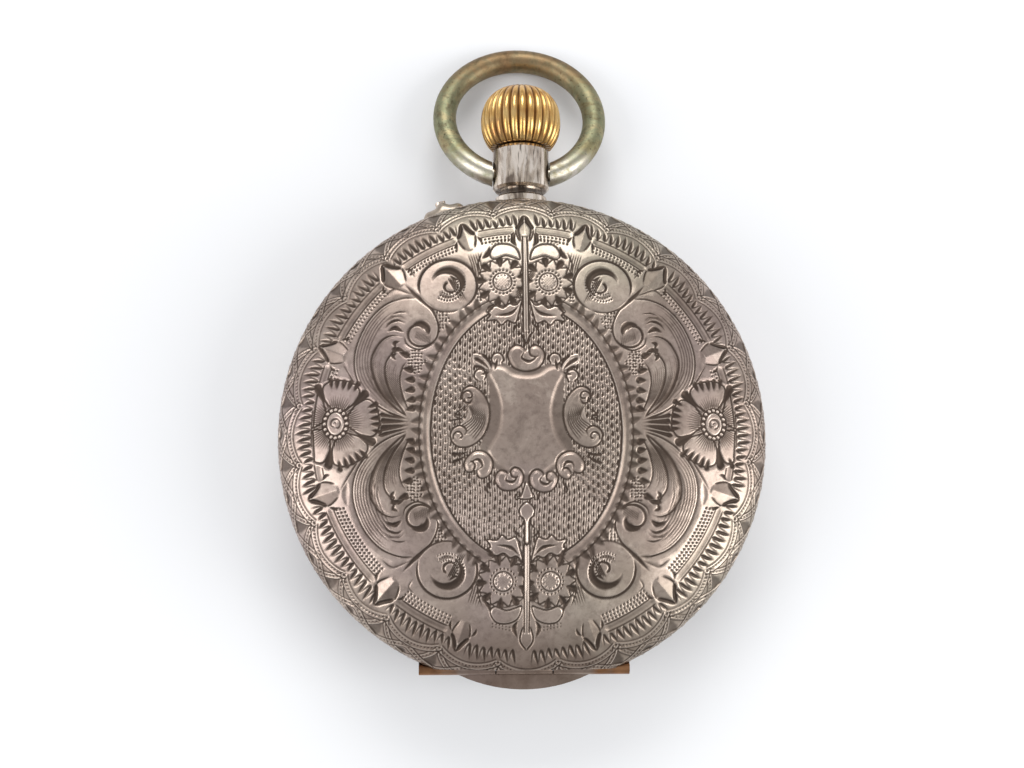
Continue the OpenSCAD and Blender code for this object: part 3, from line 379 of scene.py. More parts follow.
def engrave(P):
    px, py = P.px, P.py
    rr = np.hypot(px, py)

    # border: punched double festoons, lens facets on the wall, zigzag between the fillets and the festoons
    def swag(a0, v, off=0.0):
        return polar(a0 + 15*v, 15.85 + off + 0.62*sin(pi*v)**0.8)

    def beaded(pts, w=0.34, gap=0.24, r=0.075):
        """A row of punch marks between two fine raised lines."""
        pts = np.asarray(pts)
        t = np.gradient(pts, axis=0)
        t = np.stack([-t[:, 1], t[:, 0]], 1)/np.hypot(t[:, 0], t[:, 1])[:, None]
        for s in (-1, 1):
            P.line(pts + t*s*w*0.72, 0.11, 0.035, 0.75)
        for s in (-1, 1):
            P.raise_line(pts + t*s*w*0.45, 0.13, 0.035)
        P.dots(resample(pts, gap), r, 0.06, 1.0)

    s1, s2, s3 = float(s_of(15.9)), S_END - 0.35, float(s_of(16.75))
    for k in range(24):
        a0 = 7 + 15*k
        # the lens facets are soft wide cuts painted dark: painted shade on the facets
        for am, sa, sb in ((a0 + 7.5, s3 + 0.45, s2 - 0.05), (a0 + 0.2, s1 + 0.5, s2 - 0.2)):
            P.line([polar(am, float(r_of(sa))), polar(am + 0.6, float(r_of((sa + sb)/2))),
                polar(am, float(r_of(sb)))], 1.0, 0.11, 0.55, ends=(0.5, 0.5), soft=1)
        for b0, sgn in ((a0, 1), (a0 + 15, -1)):
            beaded([polar(b0 + sgn*7.5*v, float(r_of(s1 + (s2 - s1)*v**0.75)))
                for v in np.linspace(0, 1, 10)], 0.26, 0.25, 0.065)
        beaded([polar(a0 + 15*v, float(r_of(s3 + (s2 - 0.1 - s3)*abs(2*v - 1)**1.3)))
            for v in np.linspace(0, 1, 13)], 0.26, 0.25, 0.065)
    for k in range(24):
        beaded([swag(7 + 15*k, v) for v in np.linspace(0.01, 0.99, 13)])

    spikes = (0, 16.5, 40, 67, 107, 138.5, 162)
    blocked = [s*a for a in spikes for s in (1, -1)] + [180]
    for k in range(190):
        a = 1.0 + 1.895*k
        near = min(abs((a + 0.7 - b + 180) % 360 - 180) for b in blocked)
        if near < 1.9:
            continue
        wob = 0.06*sin(k*2.4)
        top = [15.62 + 0.5*sin(pi*(((x - 7) % 15)/15))**0.8 + wob for x in (a, a + 1.5)]
        P.line([polar(a - 0.25, top[0]), polar(a + 0.45, 15.2), polar(a + 0.75, 14.86 + wob)], 0.29, 0.10,
            0.78, ends=(0.5, 0.2))
        P.line([polar(a + 0.8, 14.88), polar(a + 1.25, 15.25), polar(a + 1.5, top[1] - 0.12)], 0.14, 0.06,
            0.7, ends=(0.15, 0.6))

    for sx in (-1, 1):
        for a, b in ((2.9, 13.2), (19.6, 36.6), (43.4, 63.6), (71, 83), (96, 103), (111, 134.6),
            (142.4, 158.2)):
            arc = [polar(sx*(a + (b - a)*v), 14.55) for v in np.linspace(0, 1, 8)]
            P.line(arc, 0.50, 0.06, 0.0, ends=(0.08, 0.08), soft=1)
            P.line(arc, 0.22, 0.06, 0.42, ends=(0.08, 0.08), soft=1)
            for rad in (14.29, 14.81):
                P.line([polar(sx*(a + (b - a)*v), rad) for v in np.linspace(0.01, 0.99, 8)], 0.13, 0.045, 0.9,
                    ends=(0.05, 0.05))
            if b - a > 9:
                for i, rad in enumerate((14.1, 13.83) if b < 100 else (14.1, 13.85, 13.6)):
                    e = resample(np.array([polar(sx*(a + (b - a)*v), rad)
                        for v in np.linspace(0.05 + 0.01*i, 0.95, 10)]), 0.26)
                    P.dots(e, 0.095, 0.085, 1.0)
        # leaf spikes that cross the fillets: two planes meeting in a ridge, a wide cut down either side
        for a in spikes:
            if a == 0 and sx == 1:
                continue
            w = 3.3 if a in (40, 138.5, 67, 107) else 2.5
            half = [(0, 15.78), (0.30, 15.3), (0.62, 14.95), (1.0, 14.55), (0.86, 14.2), (0.62, 13.85),
                (0.5, 13.55)]
            out = [polar(sx*(a + w*u), r_) for u, r_ in half] + [polar(sx*(a - w*u), r_) for u,
                r_ in half[:0:-1]]
            m = P.inside(out, False)
            P.clear(m)
            bear = np.degrees(np.arctan2(px, py))
            off = np.abs((bear - sx*a + 180) % 360 - 180)*radians(1)*rr
            P.H[m.ravel()] = (0.05 - 0.16*off).ravel()[m.ravel()]
            # one plane of each spike is painted darker: painted shade on that side of the ridge
            P.D[m.ravel()] = (0.35*((bear - sx*a + 180) % 360 - 180 < 0)).ravel()[m.ravel()]
            for s in (-1, 1):
                P.line([polar(sx*a, 15.82), polar(sx*(a + s*0.42*w), 15.2), polar(sx*(a + s*1.0*w), 14.6)],
                    0.36, 0.12, 1.0, ends=(0.25, 0.2))
                P.line([polar(sx*(a + s*1.0*w), 14.6), polar(sx*(a + s*0.9*w), 14.2),
                    polar(sx*(a + s*0.55*w), 13.6)], 0.16, 0.08, 0.9, ends=(0.1, 0.3))
                P.leafcut([polar(sx*(a + s*1.1*w), 14.5), polar(sx*(a + s*1.45*w), 14.2),
                    polar(sx*(a + s*1.5*w), 13.8)], 0.26, 0.09, 0.9)

    # matted ground between the scrolls
    rng = np.random.default_rng(7)
    for sx, sy in QUADS:
        for cx, cy, rx, ry in ((7.65, 4.9, 0.62, 0.8), (6.0, 7.75, 0.65, 0.7), (3.1, 9.4, 0.4, 0.4)):
            g = [(sx*(cx + rx*x), MID + sy*(cy - MID + ry*y)) for x in np.arange(-1, 1.01, 0.22/rx)
                for y in np.arange(-1, 1.01, 0.22/ry) if x*x + y*y < 1.1]
            g = np.array(g) + rng.uniform(-0.04, 0.04, (len(g), 2))
            P.dots(g, 0.10, 0.08, 1.0)

    # the four acanthus scrolls
    A = [(7.6, 9.45), (8.7, 9.45), (10.0, 8.9), (11.1, 7.7), (11.8, 6.1), (11.95, 4.7), (11.6, 3.4),
        (10.7, 2.2), (9.6, 1.4), (8.15, 0.85)]
    V = [(7.6, 9.45), (6.6, 8.6), (6.1, 7.4), (6.4, 6.3), (7.4, 5.75), (8.25, 6.1), (8.5, 6.8)]
    B = [(8.45, 6.6), (9.3, 6.75), (10.1, 6.35), (10.7, 5.3), (10.7, 4.2), (10.1, 2.8), (9.1, 1.7),
        (8.15, 0.95)]
    C = [(8.5, 5.6), (9.1, 5.6), (9.7, 4.9), (9.75, 3.9), (9.3, 2.6), (8.2, 1.0)]
    E = [(8.2, 5.0), (8.6, 4.4), (8.75, 3.5), (8.5, 2.4), (8.1, 1.4)]
    for sx, sy in QUADS:
        def m(pts):
            p = np.asarray(pts, float).reshape(-1, 2)
            return np.stack([sx*p[:, 0], MID + sy*(p[:, 1] - MID)], 1)
        left = sx*sy > 0       # mirrored curves swap the side that their slope falls on
        io = dict(inner=0.30) if not left else dict(outer=0.30)
        oi = dict(outer=0.30) if not left else dict(inner=0.30)
        P.clear(P.inside(m(A + C[::-1])), 0.0)
        P.clear(P.inside(m(A[::-1] + V)), 0.0)
        P.line(m(A), 0.15, 0.085, 1.0, ends=(0.05, 0.05), **oi)
        P.line(m(V), 0.15, 0.085, 1.0, ends=(0.05, 0.1), **io)
        for i in range(5 if sy > 0 else 9):
            P.line(m(beside(A, -0.2 - 0.19*i, 0.10 + 0.04*(i % 3) + 0.01*i, 0.90 - 0.035*i)), 0.09, 0.035,
                0.85, ends=(0.2, 0.3))
        if sy > 0:
            for i, f in enumerate((0.72, 0.8, 0.88)):
                P.line(m(between(A, B, f, 0.42 + 0.06*i, 0.93)), 0.09, 0.03, 0.65, ends=(0.4, 0.3))
        P.line(m(B), 0.20, 0.08, 1.0, ends=(0.2, 0.1), **oi)
        P.line(m(between(B, C, 0.12, 0.05, 0.9)), 0.34, 0.06, 0.2, ends=(0.4, 0.3), soft=1)
        for i in range(6):
            P.line(m(between(B, C, 0.16 + 0.14*i, 0.24 + 0.04*(i % 3), 0.92)), 0.09, 0.035, 0.75,
                ends=(0.3, 0.3))
        P.line(m(C), 0.17, 0.07, 1.0, ends=(0.2, 0.1), **oi)
        for i in range(6):
            P.line(m(between(C, E, 0.14 + 0.14*i, 0.15 + 0.05*(i % 3), 0.90)), 0.09, 0.035, 0.75,
                ends=(0.3, 0.3))
        P.line(m(E), 0.14, 0.06, 1.0, ends=(0.2, 0.1))
        # the volute's dark eye and the cuts on the leaf beside it
        P.line(m(spiral(7.45, 6.95, 1.2, 0.3, 195, 520)), 0.22, 0.08, 1.0, ends=(0.35, 0.15), **io)
        P.line(m(spiral(7.35, 6.95, 0.72, 0.5, 20, 215)), 0.55, 0.11, 0.9, ends=(0.5, 0.4), soft=1)
        for i in range(9):
            P.line(m([(6.75 + 0.12*i, 6.0 + 0.05*i), (6.62 + 0.12*i, 6.85 + 0.03*i)]), 0.09, 0.03, 0.8,
                ends=(0.2, 0.4))
        P.leafcut(m([(8.35, 7.55), (8.9, 7.85), (9.5, 7.65), (9.9, 7.1)]), 0.24, 0.08, 0.9)
        P.leafcut(m([(8.5, 6.95), (9.1, 7.3), (9.7, 7.0)]), 0.42, 0.12, 0.9)
        P.leafcut(m([(8.1, 8.35), (8.8, 8.45), (9.5, 8.2)]), 0.14, 0.06, 0.9)
        for i in range(4):
            P.line(m([(8.3 + 0.2*i, 7.75 + 0.06*i), (8.75 + 0.2*i, 8.15), (9.4 + 0.15*i, 8.0 - 0.12*i)]),
                0.09, 0.03, 0.7, ends=(0.4, 0.4))
        for i in range(3):
            P.leafcut(m([(8.75 + 0.1*i, 6.35 - 0.42*i), (9.15 + 0.05*i, 6.2 - 0.45*i), (9.0, 5.75 - 0.4*i)]),
                0.32, 0.10, 1.0)
        # ragged leaf edge and triangle cuts against the oval
        for i, (x, y, dx, dy) in enumerate(((8.4, 5.35, 0.5, 0.25), (8.1, 4.3, 0.5, 0.1),
            (8.0, 3.6, 0.45, 0.0), (8.0, 2.9, 0.45, -0.1), (7.95, 2.2, 0.4, -0.1), (7.95, 1.6, 0.4, -0.15))):
            P.wedge(*m([(x - 0.1, y), (x + dx, y + dy)]), 0.55, 0.12, 1.0)
        P.leafcut(m([(8.3, 5.5), (8.9, 5.75), (9.5, 5.4)]), 0.40, 0.11, 1.0)

        # fan of lines tying the scroll to its spike, and the smooth tongue above the scroll
        for i in range(5):
            P.line(m([(12.85 - 0.12*i, 5.0 - 0.2*i), (12.05 - 0.1*i, 3.6 - 0.14*i),
                (11.45 - 0.08*i, 2.6 - 0.1*i)]), 0.10, 0.05, 0.95, ends=(0.3, 0.3))
            P.line(m([(8.65 - 0.12*i, 10.6 - 0.18*i), (7.55 - 0.11*i, 9.65 - 0.16*i),
                (6.45 - 0.10*i, 8.7 - 0.14*i)]), 0.10, 0.05, 0.95, ends=(0.3, 0.3))
        P.line(m([(9.9, 9.65), (9.2, 10.15), (8.4, 9.9), (7.8, 9.65)]), 0.12, 0.06, 0.8, ends=(0.2, 0.3),
            **oi)
        P.line(m([(12.3, 6.0), (12.4, 5.2), (12.3, 4.3)]), 0.5, 0.05, 0.1, ends=(0.4, 0.4), soft=1)

        # round spiral medallion
        cx, cy = 5.45, 10.35
        P.clear(P.inside(m(oval(cx, cy, 2.05, 1.95, step=0.4))), 0.0)
        P.line(m(oval(cx, cy, 2.05, 1.95, -0.4, 4.6, 0.3)), 0.22, 0.08, 1.0, ends=(0.1, 0.2), **io)
        P.line(m(oval(cx, cy, 2.05, 1.95, 4.3, 6.0, 0.3)), 0.14, 0.06, 0.9, ends=(0.1, 0.2))
        P.line(m(spiral(cx, cy + 0.05, 1.15, 0.95, 10, 235)), 0.62, 0.12, 0.85, ends=(0.4, 0.35), soft=1)
        P.line(m(spiral(cx, cy + 0.05, 1.0, 0.8, 235, 320)), 0.4, 0.07, 0.4, ends=(0.5, 0.5), soft=1)
        for rad in (0.78, 1.02, 1.26):
            P.dots(m(spiral(cx + 0.05, cy + 0.05, rad, rad - 0.12, 150, 300, int(11*rad) + 3)), 0.075, 0.14,
                1.0)
        P.line(m(spiral(cx - 0.1, cy, 0.62, 0.2, 200, 430)), 0.22, 0.10, 1.0, ends=(0.4, 0.1))
        P.leafcut(m([(cx - 0.1, cy + 0.75), (cx - 0.55, cy + 0.45), (cx - 0.9, cy + 0.75)]), 0.3, 0.10, 0.9)
        for i in (-1.5, -0.5, 0.5, 1.5):
            P.line(m([(cx - 0.2 + 0.13*i, cy + 0.55), (cx - 1.2 + 0.13*i, cy - 1.35)]), 0.11, 0.07, 1.0,
                ends=(0.1, 0.4))

        # lobes beside the medallion, towards the flowers
        P.line(m([(3.0, 12.9), (3.35, 11.9), (3.25, 11.0)]), 0.13, 0.07, 0.9, ends=(0.3, 0.3))
        for i in range(5):
            P.line(m([(4.05 - 0.17*i, 12.7 + 0.05*i), (3.75 - 0.16*i, 11.8), (3.55 - 0.13*i, 11.0)]), 0.10,
                0.045, 0.9, ends=(0.3, 0.3))
        P.leafcut(m([(3.05, 12.3), (2.6, 12.75), (2.5, 13.3)]), 0.42, 0.12, 1.0)
        P.line(m([(7.7, 10.9), (8.05, 11.5), (7.6, 12.0)]), 0.10, 0.05, 0.8, ends=(0.3, 0.3))

    # big side flowers
    for sx in (-1, 1):
        cx, cy = sx*13.2, 0.6
        disc = (np.hypot(px - cx, py - cy) < 3.15) & (rr < 14.85)
        P.clear(disc)
        P.line([polar(sx*a, 14.9) for a in np.linspace(84, 93.5, 6)], 0.12, 0.07, 0.9)
        for k in range(5):
            a = radians((9 if sx < 0 else 171) + 72*k)
            c = np.array([cx, cy])
            d, n_ = np.array([cos(a), sin(a)]), np.array([-sin(a), cos(a)])
            petal = [(0.9, 0.35), (1.6, 1.05), (2.45, 1.3), (2.95, 0.75)]
            petal += [(3.05, 0.0)] + [(u, -w) for u, w in petal[::-1]]
            edge = [c + d*u + n_*w for u, w in petal]
            edge = [e if hypot(*e) < 14.75 else e*14.75/hypot(*e) for e in edge]
            P.line(edge, 0.15, 0.07, 1.0, inner=0.2)
            for j in (-0.95, -0.5, -0.1, 0.35, 0.75):
                e0, e1 = c + d*2.98 + n_*j*1.15, c + d*2.3 + n_*j*0.9
                if hypot(*e0) < 14.8:
                    P.wedge(e0, e1, 0.46, 0.10, 0.9)
            d2 = np.array([cos(a + radians(36)), sin(a + radians(36))])
            if hypot(*(c + d2*2.9)) < 14.9:
                P.line([c + d2*3.05, c + d2*1.5], 0.7, 0.12, 1.0, ends=(0.1, 0.8), soft=1)
        for k in range(68):
            a = 2*pi*k/68
            d = np.array([cos(a), sin(a)])
            r0, r1 = 0.95, 1.75 + 0.45*abs(sin(2.5*(a - radians(9 if sx < 0 else 171)) + pi/2))
            P.line([c + d*r0*(1, 1.1), c + d*r1], 0.085, 0.045, 0.85, ends=(0.02, 0.6), curve=False)
        ring = np.hypot((px - cx)/0.98, (py - cy)/1.15)
        P.sink((ring < 1) & (ring > 0.6), -0.06, 0.85)
        P.clear(np.hypot((px - cx)/0.56, (py - cy)/0.78) < 1, 0.06)
        for k in range(16):
            t = 2*pi*k/16
            P.clear(np.hypot(px - cx - 0.78*cos(t), py - cy - 0.98*sin(t)) < 0.105, 0.06)
        P.line(spiral(cx, cy, 0.36, 0.3, -60, 220), 0.11, 0.02, 0.8)
        P.dots([(cx + 0.1, cy - 0.3), (cx - 0.15, cy - 0.2), (cx, cy + 0.05)], 0.07, 0.02, 0.7)
        # wedges from the flower to the oval
        for b, w in ((-16, 0.4), (-7, 0.55), (3, 0.5), (11, 0.4)):
            P.line([(cx - sx*(3.15 - 0.01*abs(b)), cy + 0.055*b), (cx - sx*5.3, cy + 0.02*b)], w, 0.10, 1.0,
                ends=(0.1, 0.9), curve=False)

    # the oval: a smooth hollow band with teeth outside it
    def ell(ax, by, t):
        return (ax*cos(t), by*sin(t))
    E1 = np.hypot(px/7.25, py/9.6)
    E2 = np.hypot(px/6.65, py/9.0)
    P.clear(np.hypot(px/7.7, py/10.05) < 1)
    tt = np.linspace(0, 2*pi, 73)[:-1]
    for i in range(80):
        t = 2*pi*i/80
        a, b = np.array(ell(7.42, 9.8, t)), np.array(ell(8.1, 10.5, t + 0.02*(1 if i % 2 else -1)))
        if abs(a[0]) > 3.3:
            P.wedge(a, b, 0.62, 0.09, 0.7)
    P.line([ell(7.40, 9.78, t) for t in tt], 0.14, 0.05, 0.9, closed=True)
    # the band is painted darker, most along its deep middle: painted shade in the hollow
    band = (E1 < 1.012) & (E2 > 1)
    mid = np.clip(1 - ((np.hypot(px/6.98, py/9.33) - 1)/0.042)**2, 0, 1)
    P.sink(band, -0.10*mid, 0.15 + 0.12*mid)
    P.line([ell(6.60, 8.95, t) for t in tt], 0.20, 0.10, 1.0, closed=True)

    # basket weave inside the oval: upright lines with staggered punch dashes
    inside = E2 < 0.985
    col = 0.34
    xs = px + 0.03*np.sin(py*1.7) + 0.02*np.sin(py*4.1 + px)
    k = np.floor(xs/col)
    u = xs/col - k - 0.5
    step = np.sin(k*91.7)*4375.85
    v = py/0.56 + 0.5*(k % 2) + 0.45*(step - np.floor(step))
    j = np.floor(v)
    v = v - j - 0.5
    odd = np.sin(k*12.99 + j*78.2)*43758.5
    odd = odd - np.floor(odd)
    groove = np.clip(1.1 - np.abs(np.abs(u) - 0.5)/0.18, 0, 1)
    mid = np.clip(1 - np.abs(u + 0.05)/0.10, 0, 1)
    dash = np.clip(1.2 - np.hypot(u/(0.26 + 0.08*odd), (v + 0.12*(odd - 0.5))/(0.32 + 0.1*odd))**2, 0, 1)
    P.sink(inside, -0.01 - 0.055*groove - 0.02*mid - 0.10*dash,
        np.maximum(np.maximum(0.85*groove, 0.4*mid), (0.7 + 0.3*odd)*np.clip(dash*1.8, 0, 1)))

    # the blank cartouche, standing a little proud of its sunk surround
    def both(half):
        return half + [(-x, y) for x, y in half[::-1] if x]
    round_it = P.inside(both([(0.0, 4.7), (1.0, 4.5), (1.5, 4.7), (2.5, 4.7), (2.75, 4.1), (2.6, 3.2),
        (2.6, 0.5), (3.0, -0.5), (3.2, -1.3), (2.5, -2.3), (1.5, -2.9), (0.9, -3.4), (0.0, -3.6)]))
    proud = P.inside(both([(0.0, 3.75), (0.9, 3.9), (1.5, 4.3), (2.2, 4.45), (2.5, 4.0), (2.15, 3.3),
        (1.8, 2.3), (1.68, 1.2), (1.88, 0.0), (2.4, -1.0), (2.6, -1.4), (2.2, -2.0), (1.5, -2.5), (0.9, -2.9),
        (0.0, -3.0)]))
    soft = blur(blur(proud.astype(np.float32), max(1, int(0.11/P.c))), max(1, int(0.11/P.c)))
    P.clear(round_it | proud)
    fill = (round_it | proud).ravel()
    P.H[fill] = (-0.07 + 0.10*soft).ravel()[fill]
    P.D[fill] = (0.42*(1 - soft)).ravel()[fill]

    def kidney(cx, cy, w, h, rot, dark=1.0):
        """A double scroll: a rounded body closed by two curled lobes."""
        c, s_ = cos(radians(rot)), sin(radians(rot))
        def f(pts):
            p = np.asarray(pts, float)*(w, h)
            return np.stack([cx + p[:, 0]*c - p[:, 1]*s_, cy + p[:, 0]*s_ + p[:, 1]*c], 1)
        out = [(-0.5, 0.05), (-0.44, 0.38), (-0.22, 0.5), (0.0, 0.28), (0.22, 0.5), (0.44, 0.38), (0.5, 0.05),
            (0.3, -0.38), (0.0, -0.5), (-0.3, -0.38)]
        P.clear(P.inside(f(out)), 0.03)
        P.line(f([(0.0, 0.2), (-0.08, 0.42), (-0.28, 0.5), (-0.46, 0.32), (-0.5, 0.02), (-0.34, -0.36),
            (0.0, -0.5), (0.34, -0.36), (0.5, 0.02), (0.46, 0.32), (0.28, 0.5), (0.1, 0.4), (0.12, 0.12),
            (0.3, 0.06), (0.33, 0.22)]), 0.17, 0.06, dark, ends=(0.05, 0.08), inner=0.12)
        P.leafcut(f([(0.34, 0.12), (0.1, -0.12), (-0.12, 0.02), (-0.03, 0.3)]), 0.24, 0.07, 1.0)

    kidney(0.0, 5.1, 2.55, 1.85, 0)
    kidney(-3.25, -2.23, 1.95, 1.75, 155)
    kidney(2.95, -2.27, 1.95, 1.75, 205)
    kidney(-1.18, -3.35, 1.95, 1.5, 12)
    kidney(1.13, -3.45, 1.95, 1.5, -8)
    for s in (-1, 1):
        def side(pts):
            return [(s*x, y) for x, y in pts]
        # side scroll with two volutes
        P.clear(P.inside(side([(4.4, 2.9), (3.75, 3.1), (3.0, 2.6), (2.6, 1.7), (2.6, 0.7), (3.0, -0.3),
            (3.8, -1.0), (4.7, -1.1), (5.2, -0.6), (5.1, 0.2), (4.4, 0.6), (4.0, 1.5)])), 0.02)
        back = dict(outer=0.3) if s < 0 else dict(inner=0.3)
        P.line(side([(3.65, 2.35), (3.95, 1.95), (4.35, 2.1), (4.5, 2.6), (4.2, 3.05), (3.6, 3.1),
            (2.95, 2.55), (2.58, 1.7), (2.6, 0.65), (3.0, -0.35), (3.8, -1.02), (4.65, -1.1), (5.2, -0.6),
            (5.15, 0.1), (4.6, 0.4), (4.15, 0.1), (4.3, -0.4)]), 0.18, 0.07, 1.0, ends=(0.04, 0.06), **back)
        for i in range(8):
            f = i/7
            P.line(side([(4.15 - 1.15*f, 2.1 - 0.3*f), (3.75 - 0.85*f, 1.0 - 0.45*f),
                (4.65 - 0.95*f, 0.25 - 1.0*f)]), 0.10, 0.045, 0.9, ends=(0.3, 0.2))
        P.line(side([(4.1, 1.75), (4.75, 1.35), (4.95, 1.0), (4.45, 0.85), (5.2, 0.75), (5.05, 0.35)]), 0.15,
            0.08, 1.0, ends=(0.2, 0.2), curve=False)
        P.wedge(*side([(4.85, 1.15), (4.2, 1.0)]), 0.4, 0.09, 0.9)
        P.line(spiral(s*4.0, 2.45, 0.45, 0.15, 200 if s < 0 else -20, -100 if s < 0 else 280, 9), 0.16, 0.07,
            0.9)
        P.line(spiral(s*4.65, -0.35, 0.42, 0.15, 200 if s < 0 else -20, -60 if s < 0 else 240, 9), 0.16, 0.07,
            0.9)
        # three leaflets above: two curls and a long leaf between dark wedges
        for cx, cy, rad, ax, ay in ((2.0, 5.05, 0.42, 2.2, 4.2), (3.2, 3.9, 0.42, 2.5, 4.15)):
            P.clear(P.inside(side(oval(cx, cy, rad, rad))), 0.03)
            P.line(side([(cx + rad*cos(t), cy + rad*sin(t)) for t in np.linspace(-1.2, 3.9, 10)]), 0.15, 0.08,
                1.0)
            P.leafcut(side([(cx, cy + 0.05), ((cx + ax)/2, (cy + ay)/2), (ax, ay)]), 0.26, 0.09, 1.0)
        P.clear(P.inside(side([(2.45, 4.3), (2.6, 4.8), (3.1, 5.3), (3.65, 5.4), (3.7, 4.9), (3.3, 4.5)])),
            0.03)
        P.line(side([(2.4, 4.3), (2.55, 4.9), (3.1, 5.45)]), 0.30, 0.10, 1.0, ends=(0.5, 0.2))
        P.line(side([(2.5, 4.25), (3.0, 4.75), (3.65, 5.15)]), 0.30, 0.10, 1.0, ends=(0.5, 0.2))
        P.line(side([(2.6, 4.2), (3.2, 4.45), (3.75, 4.5)]), 0.26, 0.10, 1.0, ends=(0.5, 0.2))
        for dy in (0.0, 0.35):
            P.line(side([(3.9, -1.35 - dy*0.4), (4.6, -1.6 - dy), (5.25, -1.55 - dy*1.9)]), 0.36, 0.10, 1.0,
                ends=(0.6, 0.15))
        P.leafcut(side([(2.3, -3.1), (2.75, -4.0), (2.3, -4.45)]), 0.36, 0.09, 1.0)
        P.leafcut(side([(0.5, -4.0), (0.8, -4.6), (0.35, -4.75)]), 0.24, 0.09, 1.0)
    P.clear(P.inside([(0, -3.6), (0.35, -4.5), (0, -4.75), (-0.35, -4.5)]), 0.03)
    P.line([(-0.1, -3.5), (-0.35, -4.3), (-0.65, -4.55), (-0.1, -4.7), (0.5, -4.5), (0.3, -4.1), (0.1, -3.5)],
        0.12, 0.09, 1.0)

    # upright stems with leaves, flowers either side, top and bottom
    for sy in (1, -1):
        def n_(pts):
            p = np.asarray(pts, float).reshape(-1, 2)
            return np.stack([p[:, 0], sy*p[:, 1] + (0 if sy > 0 else 0.35)], 1)
        stem = [(-0.22, 7.0), (0.22, 7.0), (0.18, 14.2), (-0.18, 14.2)]
        for s in (-1, 1):
            def side(pts):
                return n_([(s*x, y) for x, y in pts])
            # flower
            fx, fy = s*1.62, 10.6

            def on(r, a):
                return (fx + r*cos(a), fy + r*sin(a))
            P.clear(P.inside(n_(oval(fx, fy, 1.78, 1.78))), 0.0)
            P.line(n_(oval(fx, fy, 1.75, 1.75, step=0.35)), 0.09, 0.05, 0.8, closed=True)
            for k in range(9):
                a = 2*pi*k/9 + 0.3
                P.line(n_([on(1.75, a), on(1.0, a)]), 0.55, 0.11, 1.0, ends=(0.05, 0.8), curve=False)
                b = a + 0.35
                P.line(n_([on(1.4, b - 0.2), on(1.72, b), on(1.4, b + 0.2)]), 0.13, 0.05, 1.0)
            P.clear(P.inside(n_(oval(fx, fy, 0.62, 0.62))), 0.05)
            heart = P.inside(n_(oval(fx, fy, 0.5, 0.5))).ravel()
            P.H[heart] = (0.07 + 0.03*np.sin(px*32)*np.sin(py*32)).ravel()[heart]
            P.line(n_(oval(fx, fy, 0.66, 0.66, step=0.35)), 0.12, 0.05, 1.0, closed=True)
            P.dots(n_([on(0.87, a) for a in np.linspace(0, 2*pi, 22)[:-1]]), 0.10, 0.09, 1.0)
            P.dots(n_([on(0.48, a) for a in np.linspace(0, 2*pi, 12)[:-1]]), 0.07, 0.0, 0.6)
            # leaf pair over the weave
            leaf = side([(0.3, 9.25), (0.7, 8.9), (1.15, 9.0), (1.6, 8.7), (2.1, 8.85), (2.75, 8.5),
                (2.5, 8.2), (2.75, 7.75), (2.1, 7.8), (1.7, 7.45), (1.3, 7.75), (0.75, 7.6), (0.5, 8.3)])
            P.clear(P.inside(leaf), 0.03)
            P.line(leaf, 0.15, 0.07, 1.0, closed=True)
            P.leafcut(side([(0.45, 8.9), (1.1, 8.3), (2.2, 8.1)]), 0.28, 0.08, 1.0)
            P.leafcut(side([(2.1, 8.95), (2.5, 8.7), (2.75, 8.2)]), 0.42, 0.11, 1.0)
            P.leafcut(side([(0.25, 7.7), (0.75, 7.3), (0.95, 6.7)]), 0.34, 0.1, 1.0)
            # shoulder leaf near the top
            leaf = side([(0.35, 12.3), (0.6, 13.1), (1.3, 13.45), (2.1, 13.35), (2.5, 12.7), (2.2, 12.3),
                (1.4, 12.55), (0.8, 12.4)])
            P.clear(P.inside(leaf), 0.02)
            P.line(leaf, 0.13, 0.08, 1.0, closed=True)
            P.leafcut(side([(0.55, 13.2), (0.85, 13.75), (0.6, 14.5)]), 0.4, 0.12, 0.9)
            P.dots(side([(0.95 + 0.23*i, 13.75 + 0.2*j - 0.05*i) for i in range(7) for j in range(2)]), 0.06,
                0.05, 1.0)
            y0, y1 = (11.0, 11.7) if s > 0 else (10.4, 9.7)
            for i in range(4):
                P.line(side([(0.15, y0 - 0.16*i), (0.75, y1 - 0.16*i)]), 0.06, 0.05, 0.9, ends=(0.1, 0.3))
        P.clear(P.inside(n_(stem), False), 0.04)
        for x in (-0.2, 0.2):
            P.line(n_([(x, 6.95), (x*0.9, 12.0), (x*0.8, 14.0)]), 0.15, 0.06, 1.0)
        P.line(n_([(0, 6.95), (0, 14.0)]), 0.09, 0.03, 0.5, curve=False)
        P.line(n_([(-0.75, 7.15), (-0.3, 6.75), (0.0, 6.2), (0.3, 6.75), (0.75, 7.15)]), 0.26, 0.11, 1.0,
            ends=(0.3, 0.3))
        P.leafcut(n_([(-0.35, 6.5), (0.0, 6.15), (0.4, 6.6)]), 0.4, 0.11, 0.9)
        for s in (-1, 1):
            P.line(n_([(0, 15.3), (0.45*s, 14.6), (0.25*s, 13.6)]), 0.16, 0.09, 1.0, ends=(0.1, 0.2))
    # the drop below the cartouche
    drop = [(0, -4.85), (0.5, -5.3), (0.45, -5.8), (0.15, -6.2), (0.12, -7.6), (-0.12, -7.6), (-0.15, -6.2),
        (-0.45, -5.8), (-0.5, -5.3)]
    P.clear(P.inside(drop, False), 0.04)
    P.line(drop, 0.13, 0.09, 1.0, closed=True)


def blur(a, n):
    """A box blur of 2n+1 cells each way."""
    for ax in (0, 1):
        c = np.cumsum(np.pad(a, [(n + 1, n) if i == ax else (0, 0) for i in (0, 1)], mode="edge"), axis=ax,
            dtype=np.float64)
        hi = np.take(c, range(2*n + 1, c.shape[ax]), axis=ax)
        lo = np.take(c, range(0, c.shape[ax] - 2*n - 1), axis=ax)
        a = ((hi - lo)/(2*n + 1)).astype(np.float32)
    return a


